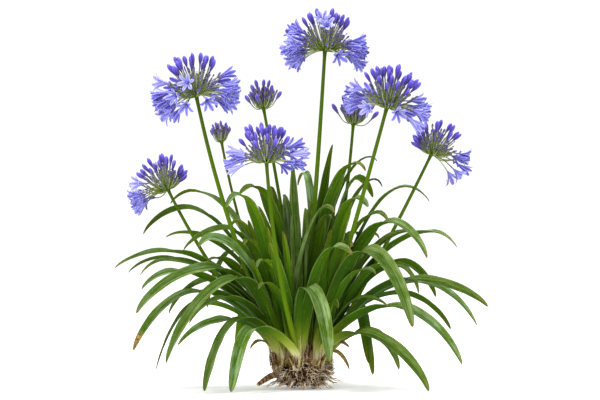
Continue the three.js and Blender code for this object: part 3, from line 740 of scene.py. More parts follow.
# %% [markdown]
# The middle line follows the same two Bezier curves as the solid's, with one more below them: a real leaf
# starts lower, as a broad sheath round the neck. Its width follows the blade's outline, and it rolls so that
# the upper face turns to the front, with a slow twist of its own.

# %% Leaf middle lines
LEAF_ROOT_LOW, LEAF_ROOT_HIGH = (10, 16, 80), (8.5, 52, 460)  # out, rise, crest height
SHEATH_OUT, SHEATH_DEPTH = (8, 4), 4  # a sheath starts this far out, for low and high leaves, and this deep
BOW, BOW_REACH = 16, 120  # the most that a leaf bows sideways, and the reach from which it bows that far
WAVER, TWIST = 10, 8  # degrees by which a leaf's facing differs from the table, and by which it twists
SHEATH = 0.16  # the share of a leaf's length at which its base has widened to the blade
TAPER_FROM, TAPER_POWER = 0.52, 3.2  # the share at which it begins to narrow to its tip, and how late it does
BASE_WIDTH = 0.55  # of the blade's
LEAF_SHARES = np.concatenate([np.linspace(0, 0.92, 38), [0.94, 0.958, 0.972, 0.983, 0.991, 0.997, 1]])


def mix(a, b, share):
    return a + (b - a) * share


def smooth(value, low, high):
    t = np.clip((value - low) / (high - low), 0, 1)
    return t * t * (3 - 2 * t)


def length_of(points):
    return np.linalg.norm(np.diff(points, axis=0), axis=1).sum()


def blade_handles(root_z, tip_z, crest_share, crest_z):
    """Handles of the climb and of the droop, each a share of the way out and a height."""

    def up(share):
        return mix(root_z, crest_z, share)

    if crest_share == 1:
        middle = (0.5, up(0.62))
        climb = [(0, root_z), (0.12, up(0.25)), (0.3, up(0.45)), middle]
        return climb, [middle, (0.7, up(0.79)), (0.85, up(0.9)), (1, tip_z)]
    crest = (crest_share, crest_z)
    climb = [(0, root_z), (0.22 * crest_share, up(0.62)), (0.62 * crest_share, crest_z), crest]
    over, hanging = mix(crest_share, 1, 0.42), (mix(crest_share, 1, 0.84), mix(crest_z, tip_z, 0.55))
    return climb, [crest, (over, crest_z), hanging, (1, tip_z)]


def midrib(leaf, index):
    """The middle line, the way that it goes out, and the share of its length at which it is highest."""
    shoot, tip_x, tip_y, tip_z, crest_share, crest_z = leaf[:6]
    foot = np.array([*SHOOTS[shoot], SHOOT_FOOT], float)
    way = np.array([tip_x - foot[0], tip_y - foot[1], 0])
    bow = BOW * min(1, np.linalg.norm(way) / BOW_REACH) * (2 * draw(index, 1) - 1)
    way /= np.linalg.norm(way)
    across = np.array([-way[1], way[0], 0])
    height = (crest_z - LEAF_ROOT_LOW[2]) / (LEAF_ROOT_HIGH[2] - LEAF_ROOT_LOW[2])
    out, rise = (mix(low, high, height) for low, high in zip(LEAF_ROOT_LOW[:2], LEAF_ROOT_HIGH[:2]))
    root = foot + way * out + (0, 0, rise)

    def at(share, z):
        spot = np.array([mix(root[0], tip_x, share), mix(root[1], tip_y, share), z])
        return spot + across * bow * math.sin(math.pi * share)

    handles = blade_handles(root[2], tip_z, crest_share, crest_z)
    climb, droop = ([at(*handle) for handle in part] for part in handles)
    steep = climb[1] - root
    steep *= 0.4 * rise / np.linalg.norm(steep)
    low = foot + way * mix(*SHEATH_OUT, height) - (0, 0, SHEATH_DEPTH)
    sheath = bezier(low, low + (0, 0, 0.4 * rise), root - steep, root, count=8)
    parts = sheath, bezier(*climb), bezier(*droop)
    lengths = [length_of(points) for points in parts]
    return np.concatenate([parts[0][:-1], parts[1][:-1], parts[2]]), way, sum(lengths[:2]) / sum(lengths)


def leaf_line(leaf, index):
    points, way, crest = midrib(leaf, index)
    points, along = even(points, LEAF_SHARES)
    width, climb_turn, droop_turn = leaf[6:]
    turn = mix(climb_turn, droop_turn, smooth(along, crest - 0.14, crest + 0.06))
    facing = way[0] * turn + WAVER * (2 * draw(index, 2) - 1)
    twist = TWIST * np.sin(2.2 * math.pi * along + 6 * draw(index, 3))
    taper = (1 - (np.clip(along - TAPER_FROM, 0, None) / (1 - TAPER_FROM)) ** TAPER_POWER) ** 0.5
    base = mix(BASE_WIDTH, 1.0, smooth(along, 0.0, SHEATH)) * mix(1.0, 0.94, smooth(along, 0.12, 0.3))
    girth = np.maximum(width * base * taper / 2, 0.02)
    roll = np.radians(facing * smooth(along, -0.02, 0.2) + twist)
    dry = DRY.get(index, 0.45 * draw(index, 5) ** 3)
    return line(points, girth, along, roll=roll, seed=draw(index, 4), dry=dry)


def grow_fan(shoot):
    lines = [leaf_line(leaf, i) for i, leaf in enumerate(LEAVES) if leaf[0] == shoot]
    shape = {"Section": blade, "Gutter": 0.46, "Wave": 0.5, "Finish": leaf_skin}
    settle(grow(f"leaf_fan_{shoot}", line_mesh(shoot, lines), sweep, **shape), f"leaves_{shoot}")


for shoot in SHOOTS:
    grow_fan(shoot)

# %% [markdown]
# Under the blades each shoot has its neck: a round column of clasping bases, green above and white below,
# which closes the room between the sheaths.

# %% Necks
NECK = [(-10, 3.5), (12, 6.5), (34, 8), (52, 7.5), (68, 4.5)]  # rise above the foot, radius


def neck_line(k, x, y):
    rises, radii = np.array(NECK, float).T
    points, share = even(np.array([(x, y, SHOOT_FOOT + rise) for rise in rises]), 14)
    girth = np.interp(share, (rises - rises[0]) / (rises[-1] - rises[0]), radii)
    return line(points, girth, 0.01 + 0.12 * share, seed=draw(k, 8), dry=0.0)


neck_lines = [neck_line(k, *spot) for k, spot in enumerate(SHOOTS.values())]
necks = grow("necks", line_mesh("necks", neck_lines), sweep, Section=round_section(20), Finish=leaf_skin)
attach(necks, "root")
print(necks.name, len(necks.data.polygons), "faces")

# %% [markdown]
# ## The scapes
# A scape is a leafless round stalk, thick at its foot. It leans out of the clump and straightens towards the
# flowers. The table gives, for each umbel, its shoot, its receptacle, the share of the lean that the scape
# has reached at its bend, and its radii. Then come the umbel's florets and how far they spread, the length of
# a pedicel, the size of a floret beside a full one, how far florets hang, the angle from which they are open,
# and the side on which they are, if it is only one. Stars are pale open florets that face the front.

# %% The habit of the umbels
COLUMNS = "shoot at lean foot head florets spread pedicel size hang open side".split()
UMBELS = {
    "tall": ("middle", (50, 30, 678), 0.58, 6.4, 3.5, 34, 104, 47, 1, 0.24, 48, None),
    "upper_left": ("front_left", (-206, -70, 588), 0.66, 5.8, 3.6, 34, 106, 49, 1.02, 0.3, 50, None),
    "upper_right": ("front_right", (172, -90, 564), 0.48, 5.8, 3.5, 34, 102, 49, 1, 0.24, 60, None),
    "centre": ("front", (-66, -150, 457), 0.76, 5.6, 3.5, 32, 98, 43, 0.97, 0.18, 60, None),
    "far_left": ("left", (-266, 60, 398), 0.6, 5, 3.1, 27, 98, 43, 0.92, 0.22, 50, 180),
    "far_right": ("right", (264, 30, 470), 0.5, 5, 3.1, 27, 104, 42, 0.92, 0.22, 50, 0),
    "young_left": ("back", (-74, 130, 561), 0.38, 4.6, 3, 22, 96, 29, 0.64, -0.75, None, None),
    "young_right": ("back_right", (108, 120, 529), 0.7, 4.6, 3, 22, 96, 31, 0.7, -0.75, None, None),
    "young_small": ("back_left", (-159, 120, 493), 0.68, 3.7, 2.6, 22, 84, 20, 0.45, -1.05, None, None),
}
STARS = {
    "tall": [(0.04, -0.62, 0.78), (0.4, -0.9, -0.02), (-0.06, -0.5, 0.86)],
    "upper_left": [(-0.22, -0.8, 0.55), (-0.3, -0.93, -0.12), (-0.6, -0.78, 0.2), (0.36, -0.93, 0.02)],
    "upper_right": [(-0.56, -0.8, 0.16), (0.3, -0.95, 0.0)],
}
THIN_UMBEL = "centre"
for name, row in UMBELS.items():
    UMBELS[name] = {**dict(zip(COLUMNS, row)), "stars": STARS.get(name, []), "thin": name == THIN_UMBEL}
BEND_HEIGHT = 0.45


def scape_curve(umbel):
    """The three handles of the scape's Bezier curve."""
    foot = np.array([*SHOOTS[umbel["shoot"]], SHOOT_FOOT + 26], float)
    head = np.array(umbel["at"], float)
    bend = mix(foot, head, umbel["lean"])
    bend[2] = mix(foot[2], head[2], BEND_HEIGHT)
    return foot, bend, head


def grow_scape(name, umbel):
    points, along = even(bezier(*scape_curve(umbel), count=40), 40)
    swell = 1 + 0.35 * smooth(along, 0.965, 1)
    mesh = line_mesh(name, [line(points, mix(umbel["foot"], umbel["head"], along) * swell * 0.96, along)])
    stalk = grow(f"scape_{name}_stalk", mesh, sweep, Section=round_scape, Finish=scape_skin)
    settle(stalk, f"scape_{name}")


round_scape = round_section(16)
for name, umbel in UMBELS.items():
    grow_scape(name, umbel)

# %% [markdown]
# ## The florets
# An open floret is a short tube that parts into six petals, three broad and three narrow, which arch
# outwards. It is built once for each stage of opening, as six curved strips with a real thickness, with its
# stamens, and then set on every open pedicel. A bud is a spindle, and its pale seams, a painted highlight
# along its ridges, are in its finish.

# %% Helpers for floret shapes


def layered():
    bm = bmesh.new()
    names = ("along", "across", "inside", "stamen")
    return bm, {name: bm.verts.layers.float.new(name) for name in names}


def close_rings(bm, rings):
    """Faces between rings of vertices, and a cap at either end."""
    for low, high in zip(rings, rings[1:]):
        for side in range(len(low)):
            after = (side + 1) % len(low)
            bm.faces.new((low[side], low[after], high[after], high[side]))
    bm.faces.new(rings[0][::-1])
    bm.faces.new(rings[-1])


def mesh_object(name, bm):
    """A smooth object from the bmesh, which is freed."""
    for face in bm.faces:
        face.smooth = True
    mesh = bpy.data.meshes.new(name)
    bm.to_mesh(mesh)
    bm.free()
    return bpy.data.objects.new(name, mesh)


def shape_object(name, bm):
    for vert in bm.verts:
        vert.co *= MM
    bmesh.ops.recalc_face_normals(bm, faces=bm.faces)
    return mesh_object(name, bm)


print("helpers for shapes:", close_rings.__name__, shape_object.__name__)

# %% [markdown]
# A petal is a strip of points round a middle line, with the same strip a third of a millimetre further in,
# and walls between the two. It is narrow in the tube, broad in the middle and blunt at the tip, cupped in the
# tube and nearly flat outside it.

# %% Petals
PETAL_STEPS, PETAL_THICKNESS = 9, 0.35
PETAL_HALF_WIDTHS = (4.6, 5.9)  # narrow and broad petals take turns
PETAL_LIFTS = (-0.25, 0.25)  # and the broad ones lie over the narrow ones


def shell_strip(bm, rows, layers):
    """Rows of points closed into a thin shell. Each point is (place, inward, along, across)."""
    outer, inner = [], []
    for side, sheet in enumerate((outer, inner)):
        for row in rows:
            sheet.append([])
            for place, inward, along, across in row:
                vert = bm.verts.new(place + inward * (PETAL_THICKNESS * side))
                vert[layers["along"]], vert[layers["across"]] = along, across
                vert[layers["inside"]] = float(side)
                sheet[-1].append(vert)
    count, wide = len(rows), len(rows[0])
    for i in range(count - 1):
        for j in range(wide - 1):
            bm.faces.new((outer[i][j], outer[i][j + 1], outer[i + 1][j + 1], outer[i + 1][j]))
            bm.faces.new((inner[i][j + 1], inner[i][j], inner[i + 1][j], inner[i + 1][j + 1]))
        bm.faces.new((outer[i][0], outer[i + 1][0], inner[i + 1][0], inner[i][0]))
        bm.faces.new((outer[i + 1][-1], outer[i][-1], inner[i][-1], inner[i + 1][-1]))
    for j in range(wide - 1):
        bm.faces.new((outer[0][j + 1], outer[0][j], inner[0][j], inner[0][j + 1]))
        bm.faces.new((outer[-1][j], outer[-1][j + 1], inner[-1][j + 1], inner[-1][j]))


def petal_rows(centre, index):
    half_width, lift = PETAL_HALF_WIDTHS[index % 2], PETAL_LIFTS[index % 2]
    spin = Matrix.Rotation(math.pi * index / 3, 3, "Z")
    rows = []
    for k, (r, _, z) in enumerate(centre):
        along = k / (PETAL_STEPS - 1)
        claw = mix(r * math.pi / 6 * 1.2, 0.62 * half_width, smooth(along, 0.22, 0.5))
        span = mix(claw, half_width, smooth(along, 0.45, 0.76))
        span *= max(0.1, 1 - max(0, (along - 0.5) / 0.52) ** 2.2)
        row = []
        for across in (-1, -0.5, 0, 0.5, 1):
            side = span * across
            cup = mix(1, 0.3, smooth(along, 0.2, 0.6)) * side * side / max(2 * r, 1)
            wave = 0.5 * math.cos(5 * along + across * 3 + index) * along
            place = Vector((r - cup + lift * smooth(along, 0.1, 0.4), side, z + wave))
            row.append((spin @ place, spin @ Vector((-0.9, 0, 0.45)), along, across))
        rows.append(row)
    return rows


print("petals of", 2 * PETAL_HALF_WIDTHS[0], "and", 2 * PETAL_HALF_WIDTHS[1], "mm")

# %% [markdown]
# Six petals and six stamens make a floret, and its opening goes from 0, a narrow trumpet, to 1, a wide star.
# A filament ends in an anther, which is one thicker ring. A bud is a row of rings from stalk to tip.

# %% Open florets and buds
STAMEN_RADII = (0.28, 0.26, 0.24, 0.2, 0.55, 0.1)
BUD_RINGS = [(0, 0.24), (0.14, 0.4), (0.32, 0.68), (0.5, 0.92), (0.68, 1)]  # height, radius: shares
BUD_RINGS += [(0.83, 0.84), (0.94, 0.5), (1, 0.08)]
BUD_SIDES = 8


def stamen_rod(bm, layers, turn, opening, length):
    """A curved filament with its anther, which leans out of the throat."""
    handles = [(0, 0, 12), (1.6, 0, 20), (2.5 + 5 * opening, 0, 0.8 * length), (4 + 6 * opening, 0, length)]
    path = bezier(*handles, count=6)
    spin = Matrix.Rotation(turn, 3, "Z")
    rings = []
    for k, (place, radius) in enumerate(zip(path, STAMEN_RADII)):
        rings.append([])
        for side in range(3):
            a = 2 * math.pi * side / 3
            x, y = place[0] + radius * math.cos(a), radius * math.sin(a)
            vert = bm.verts.new(spin @ Vector((x, y, place[2])))
            vert[layers["along"]], vert[layers["stamen"]] = k / 5, 1.0
            rings[-1].append(vert)
    close_rings(bm, rings)


def open_floret(name, opening):
    bm, layers = layered()
    reach = mix(10.5, 19.5, opening)
    tube = [(0.9, 0, 0), (2.6, 0, 5), (2.6, 0, 13)]
    arch = [(mix(5, 7, opening), 0, mix(29, 24, opening)), (reach, 0, mix(40, 31, opening))]
    centre = bezier(*tube, *arch, (reach * 1.06, 0, mix(41, 28, opening)), count=PETAL_STEPS)
    for index in range(6):
        shell_strip(bm, petal_rows(centre, index), layers)
    for index in range(6):
        stamen_rod(bm, layers, math.pi * (index + 0.5) / 3, opening, mix(36, 31, opening))
    return shape_object(name, bm)


def bud_shape(name, plump, length, bend):
    bm, layers = layered()
    rings = []
    for h, r in BUD_RINGS:
        rings.append([])
        for side in range(BUD_SIDES):
            a = 2 * math.pi * side / BUD_SIDES
            x, y = plump * r * math.cos(a), plump * r * math.sin(a)
            vert = bm.verts.new((x + bend * h * h, y, length * h))
            vert[layers["along"]], vert[layers["across"]] = h, side / BUD_SIDES
            rings[-1].append(vert)
    close_rings(bm, rings)
    return shape_object(name, bm)


def shape_set(name, shapes):
    """A collection that a tree picks from by number."""
    collection = bpy.data.collections.new(name)
    for shape in shapes:
        collection.objects.link(shape)
    return collection


OPENINGS = (0.15, 0.4, 0.7, 1.0)
BUDS = ((4.8, 28, 0.8), (4.3, 29, -1.6), (4.9, 26, 0))  # radius, length, bend
open_shapes = shape_set("open_florets", [open_floret(f"open_{k}", share) for k, share in enumerate(OPENINGS)])
bud_shapes = shape_set("buds", [bud_shape(f"bud_{k}", *sizes) for k, sizes in enumerate(BUDS)])

# %% [markdown]
# The planting tree sets a shape on every point, turned to the point's own direction, spun and sized by its
# numbers, and then makes them all one mesh. Each copy keeps a number, its tone, that shifts its colour a
# little.

# %% The planting tree


def planting_tree():
    skin, shapes = ("NodeSocketMaterial", None), ("NodeSocketCollection", None)
    tree, given, result = new_tree("plant_shapes", {"Shapes": shapes, "Finish": skin, "Stamen Finish": skin})
    points = add(tree, "GeometryNodeMeshToPoints", {"Mesh": given.outputs["Geometry"]})
    facing = add(tree, "ShaderNodeCombineXYZ", {axis.upper(): named(tree, f"way_{axis}") for axis in "xyz"})
    turned = add(tree, "FunctionNodeAlignRotationToVector", {"Vector": facing}, axis="Z")
    spin = add(tree, "FunctionNodeAxisAngleToRotation", {"Axis": (0, 0, 1), "Angle": named(tree, "spin")})
    both = {"Rotation": turned, "Rotate By": spin}
    turned = add(tree, "FunctionNodeRotateRotation", both, rotation_space="LOCAL")
    choice = {"Collection": given.outputs["Shapes"], "Separate Children": True, "Reset Children": True}
    choice = {"Instance": add(tree, "GeometryNodeCollectionInfo", choice), "Pick Instance": True}
    choice["Instance Index"] = named(tree, "kind", "INT")
    places = {"Points": points, "Rotation": turned, "Scale": named(tree, "size")}
    mesh = add(tree, "GeometryNodeInstanceOnPoints", {**places, **choice})
    mesh = add(tree, "GeometryNodeRealizeInstances", {"Geometry": mesh})
    mesh = add(tree, "GeometryNodeSetMaterial", {"Geometry": mesh, "Material": given.outputs["Finish"]})
    is_stamen = add(tree, "FunctionNodeCompare", {0: named(tree, "stamen"), 1: 0.5}, operation="GREATER_THAN")
    second = {"Selection": is_stamen, "Material": given.outputs["Stamen Finish"]}
    mesh = add(tree, "GeometryNodeSetMaterial", {"Geometry": mesh, **second})
    tree.links.new(mesh.outputs[0], result.inputs["Geometry"])
    return tree


planting = planting_tree()
print("tree", planting.name, "with", len(planting.nodes), "nodes")

# %% [markdown]
# The ways that the florets point follow the solids: golden-angle steps over a dome that leans with the scape.
# A real umbel is denser than the solids can be, so a second spiral fills the gaps between the first.

# %% Where the florets point
GOLDEN = math.radians(137.508)
STAR_ROOM = math.radians(22)  # round a star, where nothing else grows
POLAR_SHAKE, TURN_SHAKE, SET_TURN = 7, 12, 40  # degrees
STARS_ONLY = (-0.45, 0.75)  # an open floret that faces the front this much, so near the middle, is a star
SCAPE_ROOM = (0.3, 0.5)  # nothing points lower than this so near the scape
OPEN_FACING = 0.6  # where an umbel opens on one side only, open florets face it this much


def spiral_ways(umbel, k, count, spread, phase):
    """(angle from the umbel's top, way) of each floret on a spiral over the dome."""
    _, bend, head = scape_curve(umbel)
    lean = Vector((0, 0, 1)).rotation_difference(Vector(head - bend))
    lowest = math.cos(math.radians(spread))
    ways = []
    for i in range(count):
        polar = math.acos(1 - (1 - lowest) * (i + 0.5) / count)
        polar += math.radians(POLAR_SHAKE * (draw(i, k) - 0.5))
        turn = GOLDEN * i + math.radians(TURN_SHAKE * (draw(i, k + 20) - 0.5) + SET_TURN * k) + phase
        way = Vector((math.sin(polar) * math.cos(turn), math.sin(polar) * math.sin(turn), math.cos(polar)))
        ways.append((polar, lean @ way))
    return ways


def open_side(umbel):
    side = math.radians(umbel["side"])
    return Vector((math.cos(side), math.sin(side), 0))


def stage_of(umbel, polar, way):
    """What the way carries: an open floret, a bud, or nothing where the stars and the scape need room."""
    is_open = polar >= math.radians(umbel["open"])
    if any(way.angle(Vector(star)) < STAR_ROOM for star in umbel["stars"]):
        return None
    if is_open and way.y < STARS_ONLY[0] and abs(way.x) < STARS_ONLY[1]:
        return None
    if way.z < SCAPE_ROOM[0] and abs(way.x) < SCAPE_ROOM[1]:
        return None
    if is_open and umbel["side"] is not None:
        is_open = way.dot(open_side(umbel)) > OPEN_FACING
    return "open" if is_open else "bud"


print("florets turn by", round(math.degrees(GOLDEN), 1), "degrees each")

# %% [markdown]
# Stars come first, then the main spiral, then a second one in its gaps, then small young buds within. Umbels
# that open on one side have wider gaps. A young umbel is a cup packed with raw buds, and a few riper ones
# stand off at its sides and top.

# %% The florets of an umbel
GAP, THIN_GAP, ONE_SIDED_GAP = 11, 13.5, 17  # least degrees between florets
CUP_TOP, CUP_SIDE = math.radians(34), math.radians(60)  # a young umbel's riper buds stand beyond these
SECOND_PHASE, INNER_PHASE = 1.1, 2.3


def young_florets(umbel, k):
    count, spread = umbel["florets"], umbel["spread"]
    florets = []
    for i, (polar, way) in enumerate(spiral_ways(umbel, k, count, spread, 0)):
        if polar < CUP_TOP or (polar > CUP_SIDE and i % 2):
            florets.append(("bud", polar, way))
    return florets + [("raw", *row) for row in spiral_ways(umbel, k, 4 * count, 0.8 * spread, INNER_PHASE)]


def florets_of(umbel, k):
    """(stage, polar angle, way) of each floret."""
    if umbel["open"] is None:
        return young_florets(umbel, k)
    count, spread = umbel["florets"], umbel["spread"]
    gap = math.radians(THIN_GAP if umbel["thin"] else GAP if umbel["side"] is None else ONE_SIDED_GAP)
    florets = [("star", math.pi / 2, Vector(star).normalized()) for star in umbel["stars"]]
    for polar, way in spiral_ways(umbel, k, count, spread, 0):
        florets.append((stage_of(umbel, polar, way), polar, way))
    florets = [row for row in florets if row[0]]
    for polar, way in spiral_ways(umbel, k, 2 * count, spread, SECOND_PHASE):
        stage = stage_of(umbel, polar, way)
        left_out = umbel["thin"] and stage == "open" and way.x < 0
        if stage and not left_out and all(way.angle(other) > gap for _, _, other in florets):
            florets.append((stage, polar, way))
    return florets + [("young", *row) for row in spiral_ways(umbel, k, 3 * count, 0.88 * spread, INNER_PHASE)]


print("florets of the tall umbel:", len(florets_of(UMBELS["tall"], 0)))

# %% [markdown]
# A pedicel starts at the receptacle, leaves along its floret's way, and bends over more the lower it sits, or
# straightens up where the florets are still closed. Its length and its floret's size depend on the stage,
# with a draw for each floret.

# %% Pedicels
PEDICEL_FROM = 3.2  # millimetres out from the receptacle's centre
REACHES, SIZES = (0.93, 1.07), (0.9, 1.05)  # a pedicel's and a floret's least and most beside the umbel's own
TOP_REACH = 0.17  # pedicels at the top are longer by this share
SIDE_REACH = {"open": 0.2, "shut": 0.42}  # longer on the open side, shorter on the shut one
SIDE_BUD_REACH = 0.88
LEAST_RISE = -0.35  # closed buds straighten up at least this much, where a negative hang stands up
RAW_RISE = 1.5  # and raw ones this many times as much as the umbel's others
SMALL = {"young": ((0.5, 1.02), (0.2, 0.5)), "raw": ((0.35, 1.0), (0.62, 1.0))}  # shares of reach and size
RIPE_BUD_SIZE = 1.36  # the riper buds of a young umbel
STALK_TURN, FLORET_TURN = 0.5, 1.6  # how much a pedicel turns down for its hang, and how much its floret
FOOT_DIP, FOOT_RISE = 0.35, 0.15  # one that straightens up leaves low, and one that hangs leaves high
LAST_PART, YOUNG_LAST_PART = 0.22, 0.42  # the share of a pedicel that runs straight on to its floret
RECEPTACLE = [(-7, 0.95), (-4, 1.25), (-1, 1.8), (2, 1.8), (4.5, 1.0)]  # rise, share of the scape's radius


def side_reach(umbel, way):
    """On an umbel with an open side the pedicels are longer there, and shorter on the other side."""
    if umbel["side"] is None:
        return 1
    to_side = way.dot(open_side(umbel))
    return 1 + SIDE_REACH["open" if to_side > 0 else "shut"] * to_side


def reach_and_size(umbel, stage, way, i, k):
    reach = umbel["pedicel"] * mix(*REACHES, draw(i, k + 40))
    reach *= (1 + TOP_REACH * max(way.z, 0) ** 2) * side_reach(umbel, way)
    size = umbel["size"] * mix(*SIZES, draw(i, k + 80))
    if umbel["side"] is not None and stage == "bud":
        reach *= SIDE_BUD_REACH
    if stage in SMALL:
        reaches, sizes = SMALL[stage]
        reach *= mix(*reaches, draw(i, k + 120))
        size *= mix(*sizes, draw(i, k + 140))
    elif umbel["open"] is None:
        size *= RIPE_BUD_SIZE
    return reach, size


def pedicel(umbel, stage, polar, way, reach):
    """The pedicel's middle line, its end, and the way that the floret points."""
    low, up = math.sin(polar), Vector((0, 0, 1))
    hang = umbel["hang"] if stage in ("open", "star") else min(umbel["hang"], LEAST_RISE)
    hang = RAW_RISE * umbel["hang"] if stage == "raw" else hang
    stalk_way = (way - up * STALK_TURN * hang * low).normalized()
    axis = (way - up * FLORET_TURN * hang * low).normalized()
    first = (way - up * (FOOT_DIP if hang < 0 else -FOOT_RISE) * low).normalized()
    last = YOUNG_LAST_PART if umbel["open"] is None else LAST_PART
    start = Vector(umbel["at"]) + way * PEDICEL_FROM
    end = start + stalk_way * reach
    return bezier(start, start + first * reach * 0.5, end - axis * reach * last, end, count=10), end, axis


def receptacle(umbel):
    """The knob at the top of the scape, as one short thick line."""
    _, bend, head = scape_curve(umbel)
    way = (head - bend) / np.linalg.norm(head - bend)
    points = np.array([head + way * rise for rise, _ in RECEPTACLE])
    return line(points, [share * umbel["head"] for _, share in RECEPTACLE], along=0.0)


print("pedicels of the tall umbel:", UMBELS["tall"]["pedicel"], "mm")

# %% [markdown]
# Each umbel is grown in three pieces that share the solid's place: its pedicels with the receptacle, its buds
# and its open florets. A young umbel has no open ones. The floret points carry the numbers that the planting
# tree and the finishes read.

# %% Grow the umbels
FLORET_NUMBERS = ("spin", "size", "tone", "young")
STAR_SIZE, STAR_TONES = 0.9, (0.86, 0.7)  # the first star is the palest
PEDICEL_RADII = (1.25, 1.5)  # at the receptacle and under the floret


def point_mesh(name, rows):
    """One point for each row: (place, way, kind, spin, size, tone, young)."""
    mesh = bpy.data.meshes.new(name)
    mesh.from_pydata([tuple(row[0] * MM) for row in rows], [], [])
    columns = {f"way_{axis}": [getattr(row[1], axis) for row in rows] for axis in "xyz"}
    columns.update({key: [row[3 + n] for row in rows] for n, key in enumerate(FLORET_NUMBERS)})
    write_numbers(mesh, columns)
    mesh.attributes.new("kind", "INT", "POINT").data.foreach_set("value", [row[2] for row in rows])
    return mesh


def greenness(umbel, stage, i, k):
    """How raw a bud is, from 0 to 1."""
    if stage == "young":
        most = 1.0
    elif stage == "raw":
        most = 1.4 - 0.6 * umbel["size"]
    else:
        most = 0.9 - umbel["size"] if umbel["open"] is None else 0.0
    return min(max(most, 0) * mix(0.65, 1, draw(i, k + 180)), 1)


def grow_umbel(name, umbel, k):
    stalks, buds, opened = [receptacle(umbel)], [], []
    for i, (stage, polar, way) in enumerate(florets_of(umbel, k)):
        reach, size = reach_and_size(umbel, stage, way, i, k)
        points, end, axis = pedicel(umbel, stage, polar, way, reach)
        slight = math.sqrt(umbel["size"] * (0.75 if stage == "young" else 1))
        girth = mix(*PEDICEL_RADII, smooth(np.linspace(0, 1, len(points)), 0.6, 1)) * slight
        stalks.append(line(points, girth, seed=draw(i, k + 160)))
        spin, tone = 2 * math.pi * draw(i, k + 60), draw(i, k + 80)
        if stage == "star":
            widest, size = len(OPENINGS) - 1, STAR_SIZE * umbel["size"]
            opened.append((end, axis, widest, spin, size, STAR_TONES[min(i, 1)], 0.0))
        elif stage == "open":
            kind = int(len(OPENINGS) * draw(i, k + 100) ** 1.2)
            opened.append((end, axis, kind, spin, size, tone, 0.0))
        else:
            buds.append((end, axis, i % len(BUDS), spin, size, tone, greenness(umbel, stage, i, k)))
    pieces = [
        grow(f"pedicels_{name}", line_mesh(name, stalks), sweep, Section=round_pedicel, Finish=pedicel_skin),
        grow(f"buds_{name}", point_mesh(name, buds), planting, Shapes=bud_shapes, Finish=bud),
    ]
    if opened:
        shapes = {"Shapes": open_shapes, "Finish": petal, "Stamen Finish": stamen}
        pieces.append(grow(f"open_florets_{name}", point_mesh(name, opened), planting, **shapes))
    for piece in pieces:
        settle(piece, f"umbel_{name}")


for k, (name, umbel) in enumerate(UMBELS.items()):
    grow_umbel(name, umbel, k)

# %% [markdown]
# ## The root ball
# The core is a lumpy mass of soil and matted roots, nearly flat underneath. Over it lie thousands of short
# root fibres, and loose roots stick out round its foot.

# %% Soil core
BALL_CENTRE, BALL_RADII = Vector((4, 0, 34)), Vector((57, 55, 44))
BALL_TAPER = 0.2  # how far it narrows below its middle
CORE = 0.9  # the soil lies this far out, and the fibres lie over it


def ball_point(direction, swell=1.0):
    """A point on the lumpy surface of the root ball, in millimetres."""
    x, y, z = direction
    lump = 1 + 0.06 * (math.sin(7 * x + 3 * z) + math.sin(6 * y - 4 * z + 1))
    taper = 1 + BALL_TAPER * min(0, z)
    rough = 1 + 0.07 * noise.noise(Vector(direction) * 6) + 0.05 * noise.noise(Vector(direction) * 15)
    out = Vector((BALL_RADII.x * x * taper, BALL_RADII.y * y * taper, BALL_RADII.z * z))
    point = BALL_CENTRE + out * lump * rough * swell
    point.z = max(point.z, 0)
    return point


def make_core():
    bm = bmesh.new()
    tone = bm.verts.layers.float.new("tone")
    bmesh.ops.create_icosphere(bm, subdivisions=6, radius=1)
    for vert in bm.verts:
        direction = vert.co.normalized()
        vert[tone] = 0.5 + 0.5 * noise.noise(direction * 20)
        vert.co = ball_point(direction, CORE) * MM
        vert.co.z = max(vert.co.z, (10 + 5 * noise.noise(direction * 9)) * MM)
    core = mesh_object("soil_core", bm)
    core.data.materials.append(soil)
    bpy.context.scene.collection.objects.link(core)
    return core


settle(make_core(), "root_ball")

# %% [markdown]
# Each fibre is a short crooked line that lies close to the ball and runs mostly downwards, and most fibres
# are thin. Its `tone` picks its brown.

# %% Root fibres
FIBRES, CROWN_FIBRES = 2400, 1300
FIBRE_RADII, CROWN_RADII = (0.35, 1.25), (0.45, 1.2)


def crooked(points, i, k, bend, lowest=0.9):
    """The line with a seeded wander that grows towards its end, and that stays off the ground."""
    share = np.linspace(0, 1, len(points))
    for axis in range(3):
        slow = np.sin(9 * share + 6 * draw(i, k + axis))
        quick = np.sin(21 * share + 6 * draw(i, k + axis + 3))
        points[:, axis] += bend * (slow + 0.6 * quick) * share
    low = points[:, 2] < lowest
    points[low, 2] = lowest + 0.25 * (lowest - points[low, 2])
    return points


def root_line(points, radius, end_share, tone):
    """A root that thins to a share of its radius at its end."""
    return line(points, radius * mix(1, end_share, np.linspace(0, 1, len(points))), tone=tone)


def fibre_line(i):
    z = mix(-0.98, 0.9, draw(i, 200) ** 0.85)
    turn, flat = 2 * math.pi * draw(i, 201), math.sqrt(1 - z * z)
    here = Vector((flat * math.cos(turn), flat * math.sin(turn), z))
    slide = Vector((draw(i, 202) - 0.5, draw(i, 203) - 0.5, 0.2 - 0.9 * draw(i, 204)))
    there = (here + mix(0.25, 0.75, draw(i, 209)) * slide).normalized()
    spring, end = mix(0.96, 1.14, draw(i, 205)), mix(0.9, 1.14, draw(i, 206))
    ends = [ball_point(here, 0.88), ball_point((here + there).normalized(), spring), ball_point(there, end)]
    points = crooked(bezier(*ends, count=8), i, 210, 1.8, mix(1, 13, draw(i, 219) ** 0.6))
    return root_line(points, mix(*FIBRE_RADII, draw(i, 207) ** 3), 0.25, draw(i, 208))


print(FIBRES, "fibres on the ball and", CROWN_FIBRES, "round the shoots")

